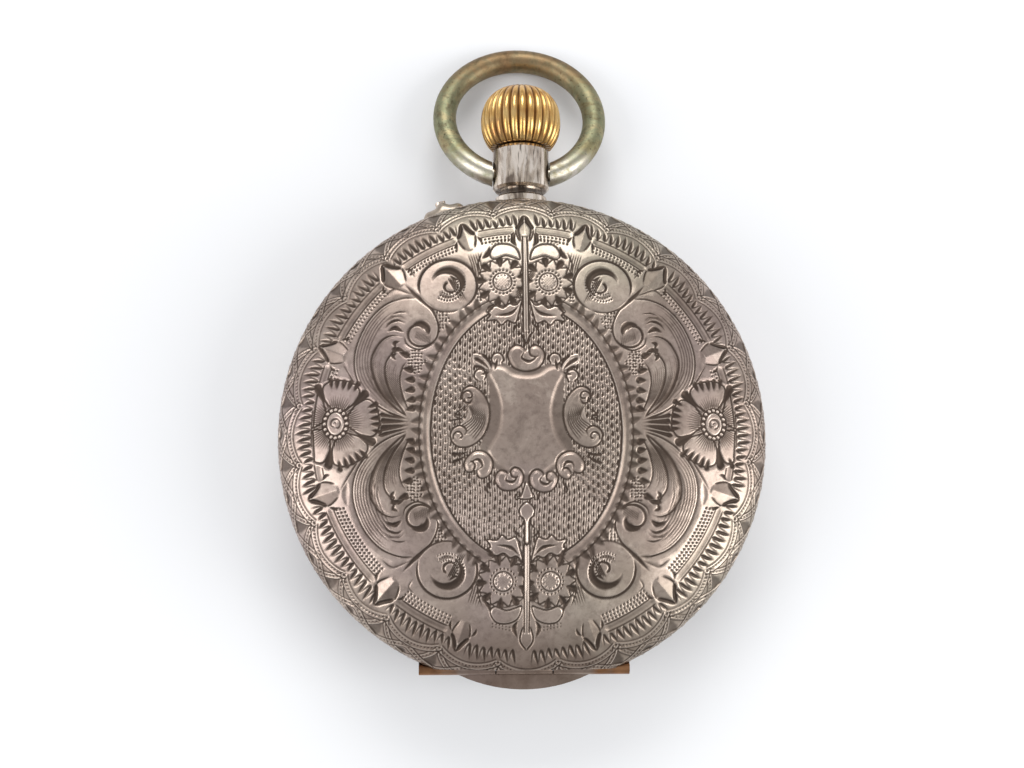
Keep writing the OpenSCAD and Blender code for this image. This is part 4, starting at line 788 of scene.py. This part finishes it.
def sample(P, a, x, y):
    fx, fy = (x + P.half)/P.c, (y + P.half)/P.c
    ix, iy = np.clip(fx.astype(int), 0, P.n - 2), np.clip(fy.astype(int), 0, P.n - 2)
    u, v = fx - ix, fy - iy
    return (a[iy, ix]*(1 - u)*(1 - v) + a[iy, ix + 1]*u*(1 - v) + a[iy + 1, ix]*(1 - u)*v + a[iy + 1,
        ix + 1]*u*v)


def disc_grid(n):
    """A square grid of n cells a side mapped onto the unit disc: bearing and radius share of each vertex."""
    g = np.linspace(-1, 1, n + 1)
    a, b = np.meshgrid(g, g, indexing="ij")
    wide = np.abs(a) > np.abs(b)
    with np.errstate(divide="ignore", invalid="ignore"):
        ph = np.where(wide, pi/4*b/a, pi/2 - pi/4*a/b)
    rho = np.where(wide, a, b)
    ph = np.where((a == 0) & (b == 0), 0, ph)
    return ph.ravel(), rho.ravel()


def edge_loop(n):
    """The grid's border vertices in order."""
    k = n + 1
    return np.array([i*k for i in range(n)] + [n*k + j for j in range(n)] + [i*k + n
        for i in range(n, 0, -1)] + [j for j in range(n, 0, -1)])


def seat_on_hinge(v, flat_y):
    """Flattens the cover at the hinge and keeps it clear of the outer knuckles."""
    v[:, 1] = np.maximum(v[:, 1], flat_y)
    near = (np.abs(v[:, 0]) > 2.0) & (np.abs(v[:, 0]) < 7.47)
    dy, dz = v[:, 1] - HY, np.maximum(v[:, 2] - HZ, 0.02)
    d = np.hypot(dy, dz)
    f = np.where(near & (d < CLEAR), CLEAR/d, 1)
    v[:, 1], v[:, 2] = HY + dy*f, np.where(f > 1, HZ + dz*f, v[:, 2])
    return v


def cover_mesh(P, n, q, material):
    H = P.H.reshape(P.n, P.n)
    D = P.D.reshape(P.n, P.n)
    H = 0.5*H + 0.5*blur(H, 1)
    D = np.clip(1.25*blur(D, 1), 0, 1)
    cav = blur(H, max(1, int(0.12/P.c))) - H
    wide = blur(H, int(0.6/P.c)) - H
    ph, rho = disc_grid(n)
    s = np.abs(rho)*S_END
    r, z = r_of(s), np.interp(s, prof_s, prof_z)
    ph = np.where(rho < 0, ph + pi, ph)
    dr = np.interp(s, prof_s, np.gradient(prof_r, prof_s))
    dz = np.interp(s, prof_s, np.gradient(prof_z, prof_s))
    x, y = s*np.cos(ph), s*np.sin(ph)
    h = sample(P, H, x, y)*np.clip((S_END - s)/0.25, 0, 1)
    v = np.stack([(r - dz*h)*np.cos(ph), (r - dz*h)*np.sin(ph), z + dr*h], 1)
    v = seat_on_hinge(v, HY)
    m = n//q
    ph2, rho2 = disc_grid(m)
    ph2 = np.where(rho2 < 0, ph2 + pi, ph2)
    s2 = np.abs(rho2)*S_END
    r2 = r_of(s2)*(R - SHEET)/R
    z2 = Z0 + (np.interp(s2, prof_s, prof_z) - Z0)*(RISE - SHEET)/RISE
    w = seat_on_hinge(np.stack([r2*np.cos(ph2), r2*np.sin(ph2), z2], 1), HY + SHEET)
    f1 = grid_faces(n + 1, n + 1)
    f2 = grid_faces(m + 1, m + 1, start=len(v), flip=True)
    lo, li = edge_loop(n), edge_loop(m) + len(v)
    rim = [[li[i], *[lo[(i*q + j) % len(lo)] for j in range(0, q + 1)], li[(i + 1) % len(li)]]
        for i in range(len(li))]
    # the middle knuckle, a tube round the hinge pin
    a = np.linspace(0, 2*pi, 25)[:-1]
    turned = ((-1.98, 0.23), (-1.98, 0.41), (-1.94, 0.45), (1.94, 0.45), (1.98, 0.41), (1.98, 0.23))
    tube = np.array([(x_, HY + rr_*cos(t), HZ + rr_*sin(t)) for x_, rr_ in turned for t in a])
    f3 = grid_faces(6, 24, close_u=True, close_v=True, start=len(v) + len(w), flip=True)
    verts = np.vstack([v, w, tube])
    # how dark, how narrow and how broad the hollow is at each point of the outside, for the material; the
    # broad hollow is painted darker there as painted shade
    attrs = {"cut": np.concatenate([sample(P, D, x, y), np.zeros(len(w) + len(tube))]),
             "cavity": np.concatenate([sample(P, cav, x, y), np.zeros(len(w) + len(tube))]),
             "hollow": np.concatenate([sample(P, wide, x, y), np.zeros(len(w) + len(tube))])}
    o = make("engraved_back_cover", verts, [f1, f2, np.array(rim), f3], "back", material,
        attrs=attrs, replaces=["back_cover"])
    gu, gv = np.meshgrid(np.linspace(0.004, 0.80, n + 1), np.linspace(0.004, 0.80, n + 1), indexing="ij")
    hu, hv = np.meshgrid(np.linspace(0.82, 0.99, m + 1), np.linspace(0.82, 0.99, m + 1), indexing="ij")
    tu, tv = np.meshgrid(np.linspace(0.92, 0.98, 6), np.linspace(0.01, 0.75, 24), indexing="ij")
    uv = np.concatenate([np.stack([gu, gv], -1).reshape(-1, 2), np.stack([hu, hv], -1).reshape(-1, 2),
        np.stack([tv, tu], -1).reshape(-1, 2)])
    me = o.data
    lv = np.zeros(len(me.loops), np.int32)
    me.loops.foreach_get("vertex_index", lv)
    luv = uv[lv]
    k0 = f1.size + f2.size
    for i in range(len(rim)):
        side, t0 = divmod(i, m)
        u0, u1, v0 = 0.01 + 0.78*t0/m, 0.01 + 0.78*(t0 + 0.96)/m, 0.825 + 0.02*side
        luv[k0 + i*(q + 3):k0 + (i + 1)*(q + 3)] = [(u0, v0),
            *[(u0 + (u1 - u0)*j/q, v0 + 0.012) for j in range(q + 1)], (u1, v0)]
    layer = me.uv_layers.new(name="OFBake")
    layer.data.foreach_set("uv", luv.astype(np.float32).ravel())
    return o


# ---------------------------------------------------------------- materials
def silver(name, light=1.0, rough=0.36, engraved=False, copper=False, scratches_and_sheen=False, scratch=1.0):
    """Tarnished silver: warm grey, dark in the cuts with tarnish and painted shade, bright on worn edges."""
    m = Mat(name, Metallic=1.0)
    cloud, broad = m.noise(160, 5, 0.62), m.noise(55, 3, 0.5)
    fine = m.noise(1900, 3, 0.7)
    base = m.ramp(cloud, (0.30, (0.31*light, 0.24*light, 0.200*light)),
        (0.50, (0.43*light, 0.34*light, 0.285*light)), (0.72, (0.54*light, 0.44*light, 0.365*light)))
    smudge = m.noise(380, 6, 0.72, distort=0.5)
    base = m.mix(m.remap(smudge, 0.50, 0.34, 0, 0.55), base, (0.20*light, 0.15*light, 0.125*light))
    base = m.mix(m.remap(smudge, 0.54, 0.68, 0, 0.6), base, (0.66*light, 0.55*light, 0.46*light))
    base = m.mix(m.remap(broad, 0.52, 0.66, 0, 0.5), base, (0.36*light, 0.34*light, 0.255*light))
    base = m.mix(m.remap(broad, 0.46, 0.34, 0, 0.5), base, (0.40*light, 0.305*light, 0.30*light))
    base = m.mix(m.remap(fine, 0.50, 0.72, 0.0, 0.45), base, (0.16, 0.12, 0.10))
    spots = m.math("MULTIPLY", m.remap(m.noise(620, 4, 0.7), 0.60, 0.70), m.remap(cloud, 0.55, 0.35))
    base = m.mix(m.math("MULTIPLY", spots, 0.75), base, (0.085, 0.070, 0.075))
    foot = m.math("MULTIPLY", m.remap(m.axis(1), -0.0125, -0.0168),
        m.remap(m.noise(260, 3, 0.6), 0.25, 0.6, 1.0, 0.6))
    base = m.mix(m.math("MULTIPLY", foot, 0.9), base, (0.145, 0.095, 0.068))
    rg = m.remap(cloud, 0.3, 0.7, rough + 0.07, rough - 0.06)
    if engraved:
        cut, cav, broad_hollow_shade = m.attr("cut"), m.attr("cavity"), m.attr("hollow")
        # dark mix: tarnish in the cuts and narrow hollows, painted shade in the broad hollows; the cut
        # darkness also holds painted shade on the lens facets, spike facets and oval band
        tarnish_and_shade = m.math("MAXIMUM", m.math("MULTIPLY", cut, 0.92), m.remap(cav, 0.012, 0.05, 0, 0.9))
        tarnish_and_shade = m.math("MAXIMUM", tarnish_and_shade, m.remap(broad_hollow_shade, 0.02, 0.08, 0, 0.45))
        base = m.mix(tarnish_and_shade, base, (0.040, 0.027, 0.020))
        base = m.mix(m.remap(cav, -0.006, -0.026, 0, 0.6), base, (0.80, 0.68, 0.58))
        rg = m.math("ADD", rg, m.math("MULTIPLY", tarnish_and_shade, 0.2))
    if scratches_and_sheen:
        # bright and dark bands along the pendant are painted highlights and painted reflections; the nicks
        # are scratches
        sheen_bands = m.noise(1.0, 3, 0.6, at=m.stretch(1150, 230, 1150), distort=0.6)
        nick = m.noise(1.0, 3, 0.6, at=m.stretch(5200, 500, 5200, (0, 0.4, 0.5)))
        base = m.mix(m.remap(sheen_bands, 0.46, 0.58, 0, 1.0), base, (0.90, 0.80, 0.70))
        base = m.mix(m.remap(sheen_bands, 0.45, 0.36, 0, 0.85), base, (0.12, 0.09, 0.07))
        base = m.mix(m.remap(nick, 0.60, 0.68, 0, 0.8), base, (0.10, 0.075, 0.06))
        ring = m.math("ABSOLUTE", m.math("SUBTRACT", m.axis(1), 0.01842))
        base = m.mix(m.remap(ring, 0.0003, 0.0001, 0, 0.9), base, (0.05, 0.035, 0.025))
        rg = m.remap(sheen_bands, 0.3, 0.7, 0.32, 0.2)
    if copper:
        # the plating is worn through to copper at the ends of the back hinge
        ax = m.math("ABSOLUTE", m.axis(0))
        wing = m.math("MULTIPLY", m.remap(ax, 0.0045, 0.0052),
            m.math("MULTIPLY", m.remap(m.axis(1), -0.0152, -0.0157), m.remap(m.axis(2), 0.0048, 0.0053)))
        wing = m.math("MULTIPLY", wing, m.remap(m.noise(700, 3, 0.6), 0.30, 0.5, 0.55, 1.0))
        base = m.mix(wing, base, m.ramp(m.noise(420, 4, 0.6), (0.35, (0.13, 0.060, 0.030)),
            (0.65, (0.34, 0.175, 0.085))))
    m.set(m.b, Base_Color=base, Roughness=rg)
    m.bump(m.math("ADD", m.math("MULTIPLY", m.noise(2600, 4, 0.65), 0.6),
        m.math("MULTIPLY", m.noise(1.0, 3, 0.6, at=m.stretch(500, 9000, 500, (0, 0, 0.6))), 0.25)),
        0.22*scratch, 0.00002)
    return m.m


def metal(name, dark, mid, lit, rough=0.25, scale=260, bump=0.15, stretch=None, bumpscale=2200):
    m = Mat(name, Metallic=1.0)
    c = m.noise(scale, 4, 0.6)
    m.set(m.b, Base_Color=m.ramp(c, (0.32, dark), (0.5, mid), (0.7, lit)),
        Roughness=m.remap(c, 0.3, 0.7, rough + 0.07, max(0.04, rough - 0.05)))
    at = m.stretch(*stretch) if stretch else None
    m.bump(m.noise(bumpscale if at is None else 1.0, 3, 0.6, at=at), bump, 0.00002)
    return m.m


def patina():
    """Bronze bow: olive-green patina, brown at the top, worn bright beside the pendant."""
    m = Mat("patinated_bow", Metallic=1.0)
    big, small = m.noise(260, 6, 0.72, distort=0.8), m.noise(1300, 5, 0.75)
    green = m.ramp(big, (0.30, (0.17, 0.13, 0.075)), (0.42, (0.27, 0.235, 0.125)),
        (0.52, (0.255, 0.265, 0.16)), (0.60, (0.36, 0.31, 0.175)), (0.72, (0.22, 0.145, 0.08)))
    green = m.mix(m.remap(small, 0.48, 0.66, 0, 0.75), green, (0.12, 0.095, 0.055))
    green = m.mix(m.remap(m.noise(3200, 3, 0.6), 0.62, 0.70, 0, 0.8), green, (0.05, 0.035, 0.02))
    brown = m.ramp(small, (0.35, (0.10, 0.06, 0.032)), (0.65, (0.30, 0.185, 0.095)))
    y = m.axis(1)
    top = m.math("MULTIPLY", m.remap(y, 0.0262, 0.0302), m.remap(big, 0.25, 0.7, 1.0, 0.6))
    base = m.mix(top, green, brown)
    ends = m.math("MULTIPLY", m.remap(y, 0.0222, 0.0203),
        m.remap(m.math("ADD", m.math("MULTIPLY", small, 0.6), m.math("MULTIPLY", big, 0.4)), 0.36, 0.56))
    base = m.mix(ends, base, (0.52, 0.48, 0.42))
    rg = m.mix(ends, m.remap(big, 0.3, 0.7, 0.56, 0.42), m.remap(small, 0.3, 0.7, 0.36, 0.24))
    m.set(m.b, Base_Color=base, Roughness=rg)
    m.bump(m.math("ADD", small, m.math("MULTIPLY", m.noise(5200, 3, 0.6), 0.4)), 0.28, 0.00003)
    return m.m


def gilt_crown():
    m = Mat("gilt_crown", Metallic=1.0)
    c = m.noise(900, 4, 0.65)
    groove = m.attr("groove")
    base = m.ramp(c, (0.32, (0.50, 0.25, 0.075)), (0.5, (0.72, 0.44, 0.15)), (0.7, (0.88, 0.62, 0.28)))
    base = m.mix(m.remap(m.noise(420, 3, 0.6), 0.50, 0.66, 0, 0.6), base, (0.40, 0.20, 0.09))
    # dark where the groove attribute is high: in the flutes, and on the two underside rows, where it is
    # painted shade under the crown
    base = m.mix(m.remap(groove, 0.15, 0.8, 0, 0.95), base, (0.10, 0.045, 0.018))
    # darker towards the foot of the crown: painted shadow where the crown sits over the pendant
    base = m.mix(m.remap(m.axis(1), 0.0232, 0.0218, 0, 0.6), base, (0.10, 0.05, 0.02))
    m.set(m.b, Base_Color=base, Roughness=m.math("ADD", m.remap(c, 0.3, 0.7, 0.27, 0.18),
        m.math("MULTIPLY", groove, 0.25)))
    m.bump(m.noise(4200, 3, 0.6), 0.12, 0.00002)
    return m.m


def enamel():
    m = Mat("dial_enamel", Roughness=0.08, Coat_Weight=0.6, Coat_Roughness=0.04)
    m.set(m.b, Base_Color=m.ramp(m.noise(240, 4, 0.6), (0.3, (0.80, 0.775, 0.70)),
        (0.7, (0.86, 0.845, 0.785))))
    m.bump(m.noise(420, 2, 0.5), 0.05, 0.00004)
    return m.m


def paint(name, a, b, rough=0.3):
    m = Mat(name, Roughness=rough)
    m.set(m.b, Base_Color=m.ramp(m.noise(2500, 3, 0.6), (0.35, a), (0.65, b)))
    return m.m


def glass():
    m = Mat("crystal_glass", IOR=1.5, Transmission_Weight=1.0)
    m.set(m.b, Base_Color=m.ramp(m.noise(90, 2, 0.5), (0.3, (0.965, 0.975, 0.97)),
        (0.7, (0.985, 0.99, 0.985))), Roughness=m.remap(m.noise(1400, 4, 0.7), 0.55, 0.8, 0.0, 0.05))
    return m.m


def ruby():
    m = Mat("ruby_jewel", IOR=1.77, Roughness=0.05)
    m.set(m.b, Base_Color=m.ramp(m.noise(1800, 3, 0.6), (0.35, (0.42, 0.015, 0.05)),
        (0.65, (0.62, 0.03, 0.10))))
    return m.m


def gilt_plate(name, stripes=True):
    """Gilt brass with fine striping across the bridges, or a frosted grain."""
    m = Mat(name, Metallic=1.0)
    c = m.noise(420, 4, 0.6)
    m.set(m.b, Base_Color=m.ramp(c, (0.32, (0.64, 0.43, 0.17)), (0.5, (0.76, 0.55, 0.24)),
        (0.7, (0.84, 0.64, 0.32))), Roughness=m.remap(c, 0.3, 0.7, 0.34, 0.24))
    if stripes:
        w = m.node("ShaderNodeTexWave", wave_type="BANDS", bands_direction="DIAGONAL", wave_profile="SAW")
        m.set(w, Vector=m.xyz, Scale=95.0, Distortion=0.4, Detail=1.0)
        m.bump(m.math("ADD", w.outputs["Fac"], m.math("MULTIPLY", m.noise(5200, 2, 0.5), 0.25)), 0.25,
            0.00004)
    else:
        m.bump(m.noise(6500, 3, 0.7), 0.35, 0.00002)
    return m.m


MATS = {
    "case": silver("case_silver_worn", 1.0, 0.34, copper=True),
    "bright": silver("pendant_silver", 1.35, 0.26, scratches_and_sheen=True, scratch=1.6),
    "steel": metal("polished_steel", (0.42, 0.42, 0.44), (0.52, 0.53, 0.55), (0.62, 0.63, 0.65), 0.2),
    "blue": metal("blued_steel", (0.015, 0.03, 0.14), (0.02, 0.05, 0.22), (0.04, 0.09, 0.34), 0.16),
    "cuvette": metal("dust_cover_gilt", (0.60, 0.50, 0.36), (0.72, 0.62, 0.46), (0.80, 0.71, 0.55), 0.14,
        stretch=(300, 6000, 300)),
    "brass": metal("gilt_wheel", (0.66, 0.46, 0.18), (0.78, 0.58, 0.26), (0.86, 0.67, 0.34), 0.2, 700),
    "spring": metal("mainspring_steel", (0.20, 0.21, 0.24), (0.28, 0.29, 0.33), (0.36, 0.37, 0.41), 0.22),
    "bridge": gilt_plate("gilt_bridge"), "plate": gilt_plate("gilt_frosted_plate", False),
    "bow": patina(), "crown": gilt_crown(), "enamel": enamel(), "glass": glass(), "ruby": ruby(),
}
USE = {
    "case": ("middle_case", "bezel", "pin_set_olive", "back_cover"), "bright": ("pendant", "set_pin"),
    "bow": ("bow",), "crown": ("crown",), "cuvette": ("cuvette",), "glass": ("crystal",), "enamel": ("dial",),
    "plate": ("main_plate",), "ruby": ("jewels", "pallet_stones"), "spring": ("mainspring",),
    "blue": ("hairspring", "bridge_screws", "case_screws", "crown_wheel_screw", "ratchet_screw",
        "click_screw",
             "hour_hand", "minute_hand", "seconds_hand"),
    "brass": ("barrel", "barrel_cover", "centre_wheel", "third_wheel", "fourth_wheel", "balance_wheel",
              "minute_wheel", "hour_wheel"),
}
KIND = {name: kind for kind, names in USE.items() for name in names}
for name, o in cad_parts.items():
    kind = KIND.get(name, "bridge" if name.endswith(("bridge", "cock")) else "steel")
    o.data.materials.clear()
    o.data.materials.append(MATS[kind])

# ---------------------------------------------------------------- the engraved back
CELL = 0.025   # of the engraving's height map
GRID = 608      # cells across the outside of the cover's mesh
INSIDE = 8                             # how much coarser its inside is
plate = Plate(CELL)
engrave(plate)
cover_mesh(plate, GRID, INSIDE, silver("engraved_silver", 1.0, 0.33, engraved=True))

# ---------------------------------------------------------------- crown: onion with convex ribs
NR, PER = 28, 14
tt = np.radians(np.linspace(-44, 90, 61))
yc, hc = 22.01, 4.74
pr = 3.0*np.cos(tt)**0.8
foot = 0.42/sin(radians(44))**0.9
py_ = yc + hc*(0.42 + np.where(tt < 0, -foot*np.abs(np.sin(-np.minimum(tt, 0)))**0.9,
                               0.58*np.abs(np.sin(np.maximum(tt, 0)))**0.9))
th = np.linspace(0, 2*pi, NR*PER, endpoint=False)
rib = np.abs(np.cos(NR*th/2))**0.62
deep = 0.27*np.clip(pr/3.0, 0, 1)**0.9*np.clip((pr - 0.25)/0.8, 0, 1)
rad = pr[:, None] - deep[:, None]*(1 - rib)[None, :]
ring = [(r_*cos(a), y_, STEM_Z + r_*sin(a)) for row, y_ in zip(rad, py_) for r_, a in zip(row, th)]
groove = ((1 - rib)[None, :]*np.clip(deep/0.2, 0, 1)[:, None]).ravel()
low = [(r_*cos(a), y_, STEM_Z + r_*sin(a)) for r_, y_ in ((0.5, yc + 0.3), (1.35, yc + 0.01)) for a in th]
faces = [grid_faces(len(tt) + 2, len(th), close_v=True), np.arange(len(th))[None, :]]
# the two underside rows get a groove value of 0.8, so the crown's material paints them dark as painted shade
# under the crown
make("fluted_crown", np.array(low + ring), faces, "crown_and_stem", MATS["crown"],
     attrs={"groove": np.concatenate([np.full(2*len(th), 0.8), groove])}, replaces=["crown"])

# ---------------------------------------------------------------- pin-set guard: a bar with hollow shoulders
BAND, BAR_AT, BAR_Z = 17.36, radians(19), 5.65   # radius it stands on, bearing left of the pendant, height
BAR_HALF, BAR_TALL, BAR_OUT = 1.64, 0.93, 1.15   # half its length, half its height, reach beyond the band
t_a, q_a = np.meshgrid(np.linspace(-1, 1, 49), np.linspace(0, 2*pi, 33)[:-1], indexing="ij")
fat = np.maximum(1 - np.abs(t_a)**2.3, 0)**0.5
swell = 0.86 + 0.14*np.cos(2.6*pi*t_a)*(1 - t_a**2)
for shoulder in (0.62, -0.62):
    swell = swell - 0.10*np.exp(-((t_a - shoulder)/0.16)**2)
along, up = BAR_HALF*t_a, BAR_TALL*fat*np.sin(q_a)
base_y = np.sqrt(np.maximum(BAND**2 - along**2, 0))
out_y = base_y + BAR_OUT*swell*fat**0.7*np.clip(np.cos(q_a), 0, 1)**0.7 - 0.25*np.clip(-np.cos(q_a), 0, 1)
bar = np.stack([along*cos(BAR_AT) - out_y*sin(BAR_AT), along*sin(BAR_AT) + out_y*cos(BAR_AT), BAR_Z + up], -1)
make("pin_guard", bar.reshape(-1, 3), [grid_faces(49, 32, close_v=True, flip=True)], "case", MATS["case"],
     replaces=["pin_set_olive"])

# ---------------------------------------------------------------- dial print
ink = paint("dial_black", (0.012, 0.012, 0.014), (0.03, 0.03, 0.034))
ink2 = paint("dial_red", (0.32, 0.03, 0.02), (0.42, 0.05, 0.03))


class Print:
    """Thin raised quads on the dial, written as its viewer sees them: x to the right, y to twelve."""

    def __init__(self):
        self.v, self.f = [], []

    def quad(self, p, z):
        k = len(self.v)
        q = [(-x, y) for x, y in p]
        turn = sum(q[i - 1][0]*q[i][1] - q[i][0]*q[i - 1][1] for i in range(4))
        q = q if turn > 0 else q[::-1]                 # anticlockwise from +Z, so every face looks outward
        self.v += [(x, y, zz) for zz in (z, z - 0.025) for x, y in q]
        self.f += [[k + i for i in q] for q in ((0, 1, 2, 3), (7, 6, 5, 4), (0, 4, 5, 1), (1, 5, 6, 2),
            (2, 6, 7, 3), (3, 7, 4, 0))]

    def bar(self, a, b, w, z, w2=None):
        a, b = np.array(a, float), np.array(b, float)
        n = np.array([-(b - a)[1], (b - a)[0]])/max(1e-9, hypot(*(b - a)))/2
        w2 = w if w2 is None else w2
        self.quad([a + n*w, a - n*w, b - n*w2, b + n*w2], z)

    def ring(self, c, r, w, z, n=96):
        for i in range(n):
            a, b = 2*pi*i/n, 2*pi*(i + 1.0)/n
            self.quad([(c[0] + q*cos(t), c[1] + q*sin(t)) for q,
                t in ((r - w/2, a), (r + w/2, a), (r + w/2, b), (r - w/2, b))], z)

    def done(self, name, mat):
        return make(name, self.v, self.f, "case", mat, smooth=False)


ZD = 2.598
num = Print()
STROKES = {"I": ([((0.5, 0), (0.5, 1), 0.17)], 0.34),
    "V": ([((0.12, 1), (0.5, 0), 0.17), ((0.5, 0), (0.88, 1), 0.055)], 0.74),
    "X": ([((0.12, 1), (0.88, 0), 0.17), ((0.12, 0), (0.88, 1), 0.055)], 0.74)}
for hour, word in enumerate(("XII", "I", "II", "III", "IIII", "V", "VI", "VII", "VIII", "IX", "X", "XI")):
    total = sum(STROKES[c][1] for c in word)
    a = radians(30*hour)
    hgt, wid, x0, k = 2.35, 1.42, -total/2, np.array([[cos(a), sin(a)], [-sin(a), cos(a)]])
    def put(x, y):
        return k @ np.array([x*wid, 9.55 + y*hgt])
    for c in word:
        for p0, p1, w in STROKES[c][0]:
            adv = STROKES[c][1]
            num.bar(put(x0 + p0[0]*adv, p0[1]), put(x0 + p1[0]*adv, p1[1]), w*1.55, ZD)
            for px_, py_2 in (p0, p1):
                if not (c == "V" and py_2 == 0):
                    num.bar(put(x0 + px_*adv - 0.15, py_2), put(x0 + px_*adv + 0.15, py_2), 0.07, ZD)
        x0 += STROKES[c][1]
num.done("hour_numerals", ink)
def sixty(name, cy, inner, outer, fifth, ring_w, widths, z, n):
    """Sixty bars between two rings centred at height cy; every fifth is wider and reaches radius fifth."""
    p = Print()
    for r in (inner, outer):
        p.ring((0, cy), r, ring_w, z, n)
    for i in range(60):
        a, far = radians(6*i), outer if i % 5 else fifth
        p.bar((inner*sin(a), cy + inner*cos(a)), (far*sin(a), cy + far*cos(a)), widths[i % 5 == 0], z)
    p.done(name, ink)


sixty("minute_track", 0, 12.35, 12.95, 12.95, 0.06, (0.07, 0.22), ZD, 96)
sixty("seconds_track", -6, 2.45, 2.9, 3.05, 0.05, (0.05, 0.11), ZD + 0.12, 72)
dots5 = Print()
for i in range(12):
    a = radians(30*i)
    dots5.quad([(13.25*sin(a) + 0.13*cos(t), 13.25*cos(a) + 0.13*sin(t)) for t in (0, pi/2, pi, 1.5*pi)], ZD)
dots5.done("five_minute_marks", ink2)

# ---------------------------------------------------------------- stage, light, camera
fl = Mat("pale_floor", Roughness=0.55)
fl.set(fl.b, Base_Color=fl.ramp(fl.noise(6, 2, 0.5), (0.3, (0.74, 0.745, 0.755)), (0.7, (0.76, 0.765, 0.77))))
fl.bump(fl.noise(900, 2, 0.5), 0.02, 0.0001)
n = 24
g = np.linspace(-1500, 1500, n)
gx, gy = np.meshgrid(g, g, indexing="ij")
me = bpy.data.meshes.new("floor")
me.from_pydata([(x*MM, y*MM, -0.00002) for x, y in zip(gx.ravel(), gy.ravel())], [],
    grid_faces(n, n).tolist())
floor = bpy.data.objects.new("floor", me)
scene.collection.objects.link(floor)
me.materials.append(fl.m)

world = bpy.data.worlds.new("studio")
scene.world = world
world.use_nodes = True
world.node_tree.nodes["Background"].inputs[0].default_value = (0.95, 0.965, 1.0, 1)
world.node_tree.nodes["Background"].inputs[1].default_value = 0.62


def softbox(name, at, size, power, colour=(1, 1, 1), aim=(0, 2, 6)):
    d = bpy.data.lights.new(name, "AREA")
    d.shape, d.size, d.size_y, d.energy, d.color = "RECTANGLE", size[0]*MM, size[1]*MM, power, colour
    o = bpy.data.objects.new(name, d)
    scene.collection.objects.link(o)
    o.location = Vector(at)*MM
    o.rotation_mode = "QUATERNION"
    o.rotation_quaternion = (Vector(aim) - Vector(at)).to_track_quat("-Z", "Y")
    return o


softbox("left_box", (-260, -60, 190), (180, 260), 0.47)
softbox("right_box", (270, -70, 180), (180, 260), 0.66)
softbox("top_box", (-20, 290, 260), (260, 160), 0.70)

# from a fit of the case's outline to where the photo shows it, the roll then changed
LENS, SENSOR, CAM_AT = 48.31, 36.0, (-5.29, -9.52, 104.92)
PITCH, YAW, ROLL = 0.13529, -0.04522, 0.0030           # radians
cd = bpy.data.cameras.new("camera")
cd.sensor_width, cd.lens, cd.clip_start, cd.clip_end = SENSOR, LENS, 0.002, 10.0
cam = bpy.data.objects.new("camera", cd)
scene.collection.objects.link(cam)
turn = Matrix.Rotation(PITCH, 3, "X") @ Matrix.Rotation(YAW, 3, "Y") @ Matrix.Rotation(ROLL, 3, "Z")
cam.rotation_mode = "QUATERNION"
cam.location = Vector(CAM_AT)*MM
cam.rotation_quaternion = turn.to_quaternion()
scene.camera = cam
scene.view_settings.view_transform = "Standard"
scene.view_settings.exposure = 0.0
